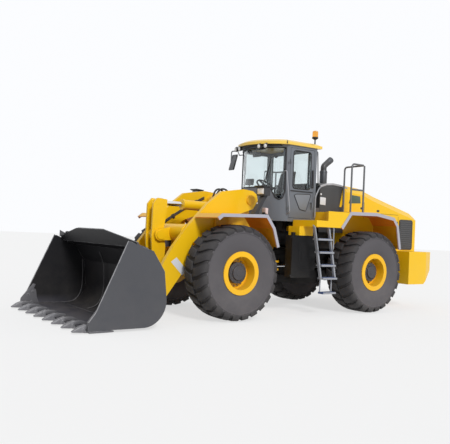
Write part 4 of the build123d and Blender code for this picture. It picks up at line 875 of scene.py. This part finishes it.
for name, look, inner, outer, bevel, outline in (
    ("lower_side_panels", "panelBrown", 0.735, 0.757, 0.004,
        [(-1.08, 1.925), (-1.08, 2.2), (-1.5, 2.2), (-1.34, 2.1), (-1.26, 1.93)]),
    ("hood_front_strips", "bodyYellow", 0.76, 0.776, 0.004,
        [(-1.845, 2.255), (-1.79, 2.255), (-1.885, 2.66), (-1.975, 2.66), (-1.925, 2.4)]),
    ("blank_plaques", "panelGreen", 0.7495, 0.7545, 0.002,
        [(-2.1, 2.355), (-2.49, 2.38), (-2.47, 2.535), (-2.17, 2.55)]),
):
    finished(bothSides(plate(outline, inner, outer, bevel=bevel)), name, look)

hood = dict(side=0.7505, louvreSide=0.769, rear=-4.5203, slats=13, slatPitch=0.05)
seams = [box((x, hood["side"], z), (0.008, 0.003, high)) for x, z, high in ((-2.62, 2.23, 0.36), (-3.84, 1.86, 0.55))]
seams += [box((-3.23, hood["side"], 2.18), (1.22, 0.003, 0.007)),
    box((-2.62, 0.675, 2.49), (0.008, 0.14, 0.005), turn=(0.785, 0, 0))]
finished(bothSides(seams), "hood_seams", "sealRubber")
latches = []
for x, z in ((-2.54, 2.27), (-3.1, 2.24), (-3.78, 2.0)):
    latches.append(softened(swept([((x, 0.75, z), (0.09, 1, 0.05)), ((x, 0.758, z), (0.08, 1, 0.04))], "Y"), 0.004))
    latches.append(turned([(0, 0), (0.012, 0), (0.01, 0.005), (0, 0.006)], (x + 0.02, 0.757, z), (0, 1, 0), 16))
finished(bothSides(latches), "hood_latches", "blackPlastic")

rise = [hood["slatPitch"] * i for i in range(hood["slats"])]
sideSlats = [box((-4.13, hood["louvreSide"] + 0.0005, 1.42 + up), (0.43, 0.008, 0.02), turn=(0.5, 0, 0))
    for up in rise]
rearSlats = [box((hood["rear"], 0, 1.44 + up), (0.009, 1.1, 0.022), turn=(0, 0.5, 0)) for up in rise]
rimLine = [(-4.13, 2.065), (-3.895, 2.065), (-3.895, 1.375), (-4.365, 1.375), (-4.365, 2.065), (-4.13, 2.065)]
sideRim = bent([(x, hood["louvreSide"], z) for x, z in rimLine], 0.008, 0.05, 8)
finished(bothSides(sideSlats + [sideRim]), "side_louvres", "grilleBlack")
finished(rearSlats, "rear_louvres", "grilleBlack")
tail = softened(swept([((-4.508, 0.66, 1.9), (1, 0.08, 0.2)), ((-4.524, 0.66, 1.9), (1, 0.07, 0.18))]), 0.005)
finished(bothSides(tail), "tail_lamps", "tailRed")

# exhaust: a flared outlet, a heat guard and clamps
exhaust = dict(x=-2.03, shieldFoot=2.77, clamps=(2.8, 3.08))
flare = turned([(0.071, 0), (0.078, 0.004), (0.09, 0.05), (0.094, 0.15), (0.09, 0.18), (0.082, 0.18), (0.082, 0.06),
    (0.071, 0.03), (0.071, 0)], (-2.075, 0, 3.255), (-0.79, 0, 0.61), 40)
guardPipe = turned([(0.0715, 0), (0.082, 0.004), (0.086, 0.02), (0.086, 0.33), (0.082, 0.346), (0.0715, 0.35),
    (0.0715, 0)], (exhaust["x"], 0, exhaust["shieldFoot"]), (0, 0, 1), 40)
clamps = [turned([(0.0865, -0.01), (0.091, -0.008), (0.091, 0.008), (0.0865, 0.01), (0.0865, -0.01)],
    (exhaust["x"], 0, z), (0, 0, 1), 40) for z in exhaust["clamps"]]
finished([flare, guardPipe] + clamps, "exhaust_outlet", "heatSteel")

# headlamp lenses and caps, and the lamps on the front fenders
lens = swept([((0.749, 1.13, 2.41), (1, 0.19, 0.12)), ((0.757, 1.13, 2.41), (1, 0.18, 0.11)),
    ((0.764, 1.13, 2.41), (1, 0.14, 0.08))])
finished(bothSides(softened(lens, 0.008, 3)), "headlamp_lenses", "lensWhite", "front_half")
hoodCap = plate([(0.6, 2.49), (0.6, 2.5), (0.8, 2.515), (0.815, 2.5), (0.76, 2.48)], 1, 1.26, bevel=0.006)
finished(bothSides(hoodCap), "headlamp_caps", "sealRubber", "front_half")
fenderLamp = swept([((0.65, 1.2, 1.985), (1, 0.1, 0.03)), ((0.655, 1.2, 2.03), (1, 0.12, 0.11)),
    ((0.7, 1.2, 2.04), (1, 0.12, 0.11)), ((0.71, 1.2, 2.04), (1, 0.1, 0.09))])
finished(bothSides(softened(fenderLamp, 0.012, 3)), "fender_lamps", "pinkLens", "front_half")
lampFoot = box((0.68, 1.2, 1.985), (0.08, 0.08, 0.05), bevel=0.01)
marker, markerLens = lampAt((0.79, 1.1, 2.16), (1, 0.2, 0), 0.035, 0.05)
stand = rodBetween((0.76, 1.1, 1.98), (0.76, 1.1, 2.14), 0.012, 12)
finished(bothSides([lampFoot, marker, stand]), "fender_lamp_feet", "blackPlastic", "front_half")
finished(bothSides(markerLens), "marker_lenses", "lensWhite", "front_half")

# ladders: blue treads with raised grips, grab rails beside them, and the tank boxes' lids
ladder = dict(foot=(-0.87, 0.74), pitch=0.26, lean=0.22)
treads = []
for i in range(4):
    x, z = ladder["foot"][0] + ladder["pitch"] * ladder["lean"] * i, ladder["foot"][1] + ladder["pitch"] * i
    treads.append(box((x, 1.39, z + 0.0175), (0.354, 0.158, 0.0385), bevel=0.004))
    treads += [box((x, 1.33 + 0.03 * j, z + 0.038), (0.32, 0.008, 0.005)) for j in range(5)]
treads.append(box((-0.87, 1.395, 0.4675), (0.364, 0.148, 0.039), bevel=0.004))
finished(bothSides(treads), "blue_treads", "stepBlue")
rails = [bent([(-0.925, 1.4, 1.81), (-0.93, 1.455, 1.79), (-0.937, 1.455, 1.36), (-0.945, 1.405, 1.31)], 0.013, 0.04)]
rails.append(bent([(-0.405, 1.4, 1.81), (-0.405, 1.455, 1.78), (-0.51, 1.455, 1.33), (-0.55, 1.405, 1.28)], 0.013,
    0.04))
finished(bothSides(rails), "ladder_grab_rails", "ladderGrey")
lids = [box((-0.62, 0.92, 1.603), (0.28, 0.2, 0.01), bevel=0.004),
    box((-0.53, 1.101, 1.2), (0.4, 0.004, 0.5), bevel=0.0015),
    rodBetween((-0.4, 1.105, 1.3), (-0.4, 1.105, 1.12), 0.008, 12, 0.002)]
finished(bothSides(lids), "tank_box_lids", "blackPaint")

# hydraulic hoses and pipes
hose = dict(thick=0.019, thin=0.013, armPipe=0.012)
barrelHoses = [pipe([(0.62, y, 2.12), (0.64, y * 1.8, 2.28), (0.77, y * 1.8, 2.46), (0.92, y * 1.5, 2.48),
    (1.02, y * 1.2, 2.36), (1.04, y, 2.16)], hose["thick"]) for y in (0.045, -0.045)]
barrelHoses += [pipe([(0.62, y, 2.03), (0.8, y, 1.93), (1.2, y, 1.94), (1.42, y * 0.6, 2.02)], hose["thin"])
    for y in (0.06, -0.06)]
finished(barrelHoses, "tilt_cylinder_hoses", "hoseRubber", "tilt_barrel")
crankHoses = [pipe([(2.34, y, 1.95), (2.4, y, 1.72), (2.41, y * 1.4, 1.4), (2.4, y, 1), (2.37, y, 0.78)],
    hose["thin"]) for y in (0.05, -0.02)]
finished(crankHoses, "crank_hoses", "hoseRubber", "bell_crank")
armPipes = [pipe([(0.86, 0.612, 2.32 - d), (1.3, 0.612, 2.1 - d), (1.85, 0.612, 1.75 - d), (1.98, 0.55, 1.66 - d)],
    hose["armPipe"]) for d in (0, 0.035)]
armClips = [box((x, 0.616, z), (0.05, 0.03, 0.09), turn=(0, 0.55, 0), bevel=0.005)
    for x, z in ((1.05, 2.2), (1.6, 1.88))]
finished(bothSides(armPipes + armClips), "arm_pipes", "blackPlastic", "boom")
jointHoses = [pipe([(-0.95, y, z), (-0.8, y, z + 0.02), (-0.66, y * 1.1, z), (-0.6, y, z - 0.06)], hose["thick"])
    for y, z in ((0.16, 1.42), (0.1, 1.46), (-0.1, 1.46), (-0.16, 1.42))]
finished(jointHoses, "frame_hoses", "hoseRubber")


# the arm's pivot pin: its end cap with its bolts and grease nipple
pivot = dict(place=(0.67, 0.72, 2.25), radius=0.1, bolts=4, boltCircle=0.072)
radius = pivot["radius"]
capLine = [(0, 0), (radius, 0), (radius, 0.012), (radius - 0.008, 0.018), (radius * 0.5, 0.018),
    (radius * 0.45, 0.013), (0, 0.013)]
nippleLine = [(0, 0.01), (0.006, 0.01), (0.006, 0.02), (0.004, 0.026), (0.005, 0.03), (0, 0.032)]
caps = [turned(capLine, pivot["place"], (0, 1, 0), 40), turned(nippleLine, pivot["place"], (0, 1, 0), 12)]
for i in range(pivot["bolts"]):
    turn = 2 * math.pi * (i + 0.5) / pivot["bolts"]
    spot = Vector(pivot["place"]) + Vector((math.cos(turn), 0, math.sin(turn))) * pivot["boltCircle"]
    caps.append(turned([(0, 0.014), (0.012, 0.014), (0.012, 0.027), (0.009, 0.03), (0, 0.03)], spot, (0, 1, 0), 6))
finished(bothSides(caps), "boom_pin_caps", "bodyYellow", "boom")
print("body dressed")

# camera, floor and lamps
view = dict(place=(8.06, 10.05, 1.63), yaw=233.9, pitch=0.81, roll=2.53, lens=607 / 450 * 36)
camera = newObject("camera", bpy.data.cameras.new("camera"))
scene.camera = camera
yaw, pitch, roll = (math.radians(view[key]) for key in ("yaw", "pitch", "roll"))
ahead = Vector((math.cos(yaw) * math.cos(pitch), math.sin(yaw) * math.cos(pitch), math.sin(pitch)))
right = Vector((math.sin(yaw), -math.cos(yaw), 0))
up = right.cross(ahead)
right, up = right * math.cos(roll) + up * math.sin(roll), up * math.cos(roll) - right * math.sin(roll)
turn = Matrix((right, up, -ahead)).transposed().to_4x4()
camera.matrix_world = Matrix.Translation(view["place"]) @ turn
camera.data.lens = view["lens"]
camera.data.sensor_width = 36
camera.data.clip_end = 500

studio = dict(floorGlow=0.62, domeLight=0.55, sunLight=2.2, sunSpread=12, sunFrom=(0.2, 0.8, 0.53))


def seenBy(tree):  # 1 for the camera's own rays and for those mirrored or seen through glass
    paths = add(tree, "ShaderNodeLightPath").outputs
    seen = maths(tree, "MAXIMUM", paths["Is Camera Ray"], paths["Is Glossy Ray"])
    return maths(tree, "MAXIMUM", seen, paths["Is Transmission Ray"])


fresh()
bpy.ops.mesh.primitive_circle_add(vertices=96, radius=90, fill_type="NGON", location=(0, 0, -0.002))
ground = bpy.context.object
ground.name = "studioFloor"
paper, tree, matte = blank("studioFloor")
for socket, value in (("Base Color", (0.8, 0.8, 0.8, 1)), ("Roughness", 0.9), ("Specular IOR Level", 0.1)):
    matte.inputs[socket].default_value = value
glow = add(tree, "ShaderNodeEmission", in_Strength=1.0)
share = maths(tree, "MULTIPLY", seenBy(tree), studio["floorGlow"])
blend = add(tree, "ShaderNodeMixShader", in_0=share, in_1=matte.outputs[0], in_2=glow.outputs[0])
tree.links.new(blend.outputs[0], tree.nodes["Material Output"].inputs[0])
wear(ground, paper)

sky = bpy.data.worlds.new("studio")
scene.world = sky
sky.use_nodes = True
tree = sky.node_tree
dome = tree.nodes["Background"]
dome.inputs["Color"].default_value = (0.97, 0.98, 1.0, 1)
level = add(tree, "ShaderNodeMapRange", in_Value=seenBy(tree), in_To_Min=studio["domeLight"], in_To_Max=1.0)
tree.links.new(level.outputs[0], dome.inputs["Strength"])

sun = newObject("keyLamp", bpy.data.lights.new("keyLamp", "SUN"))
sun.data.energy = studio["sunLight"]
sun.data.angle = math.radians(studio["sunSpread"])
sun.rotation_euler = Vector(studio["sunFrom"]).to_track_quat("Z", "Y").to_euler()

scene.view_settings.view_transform = "Standard"
print("camera, floor and lamps set")
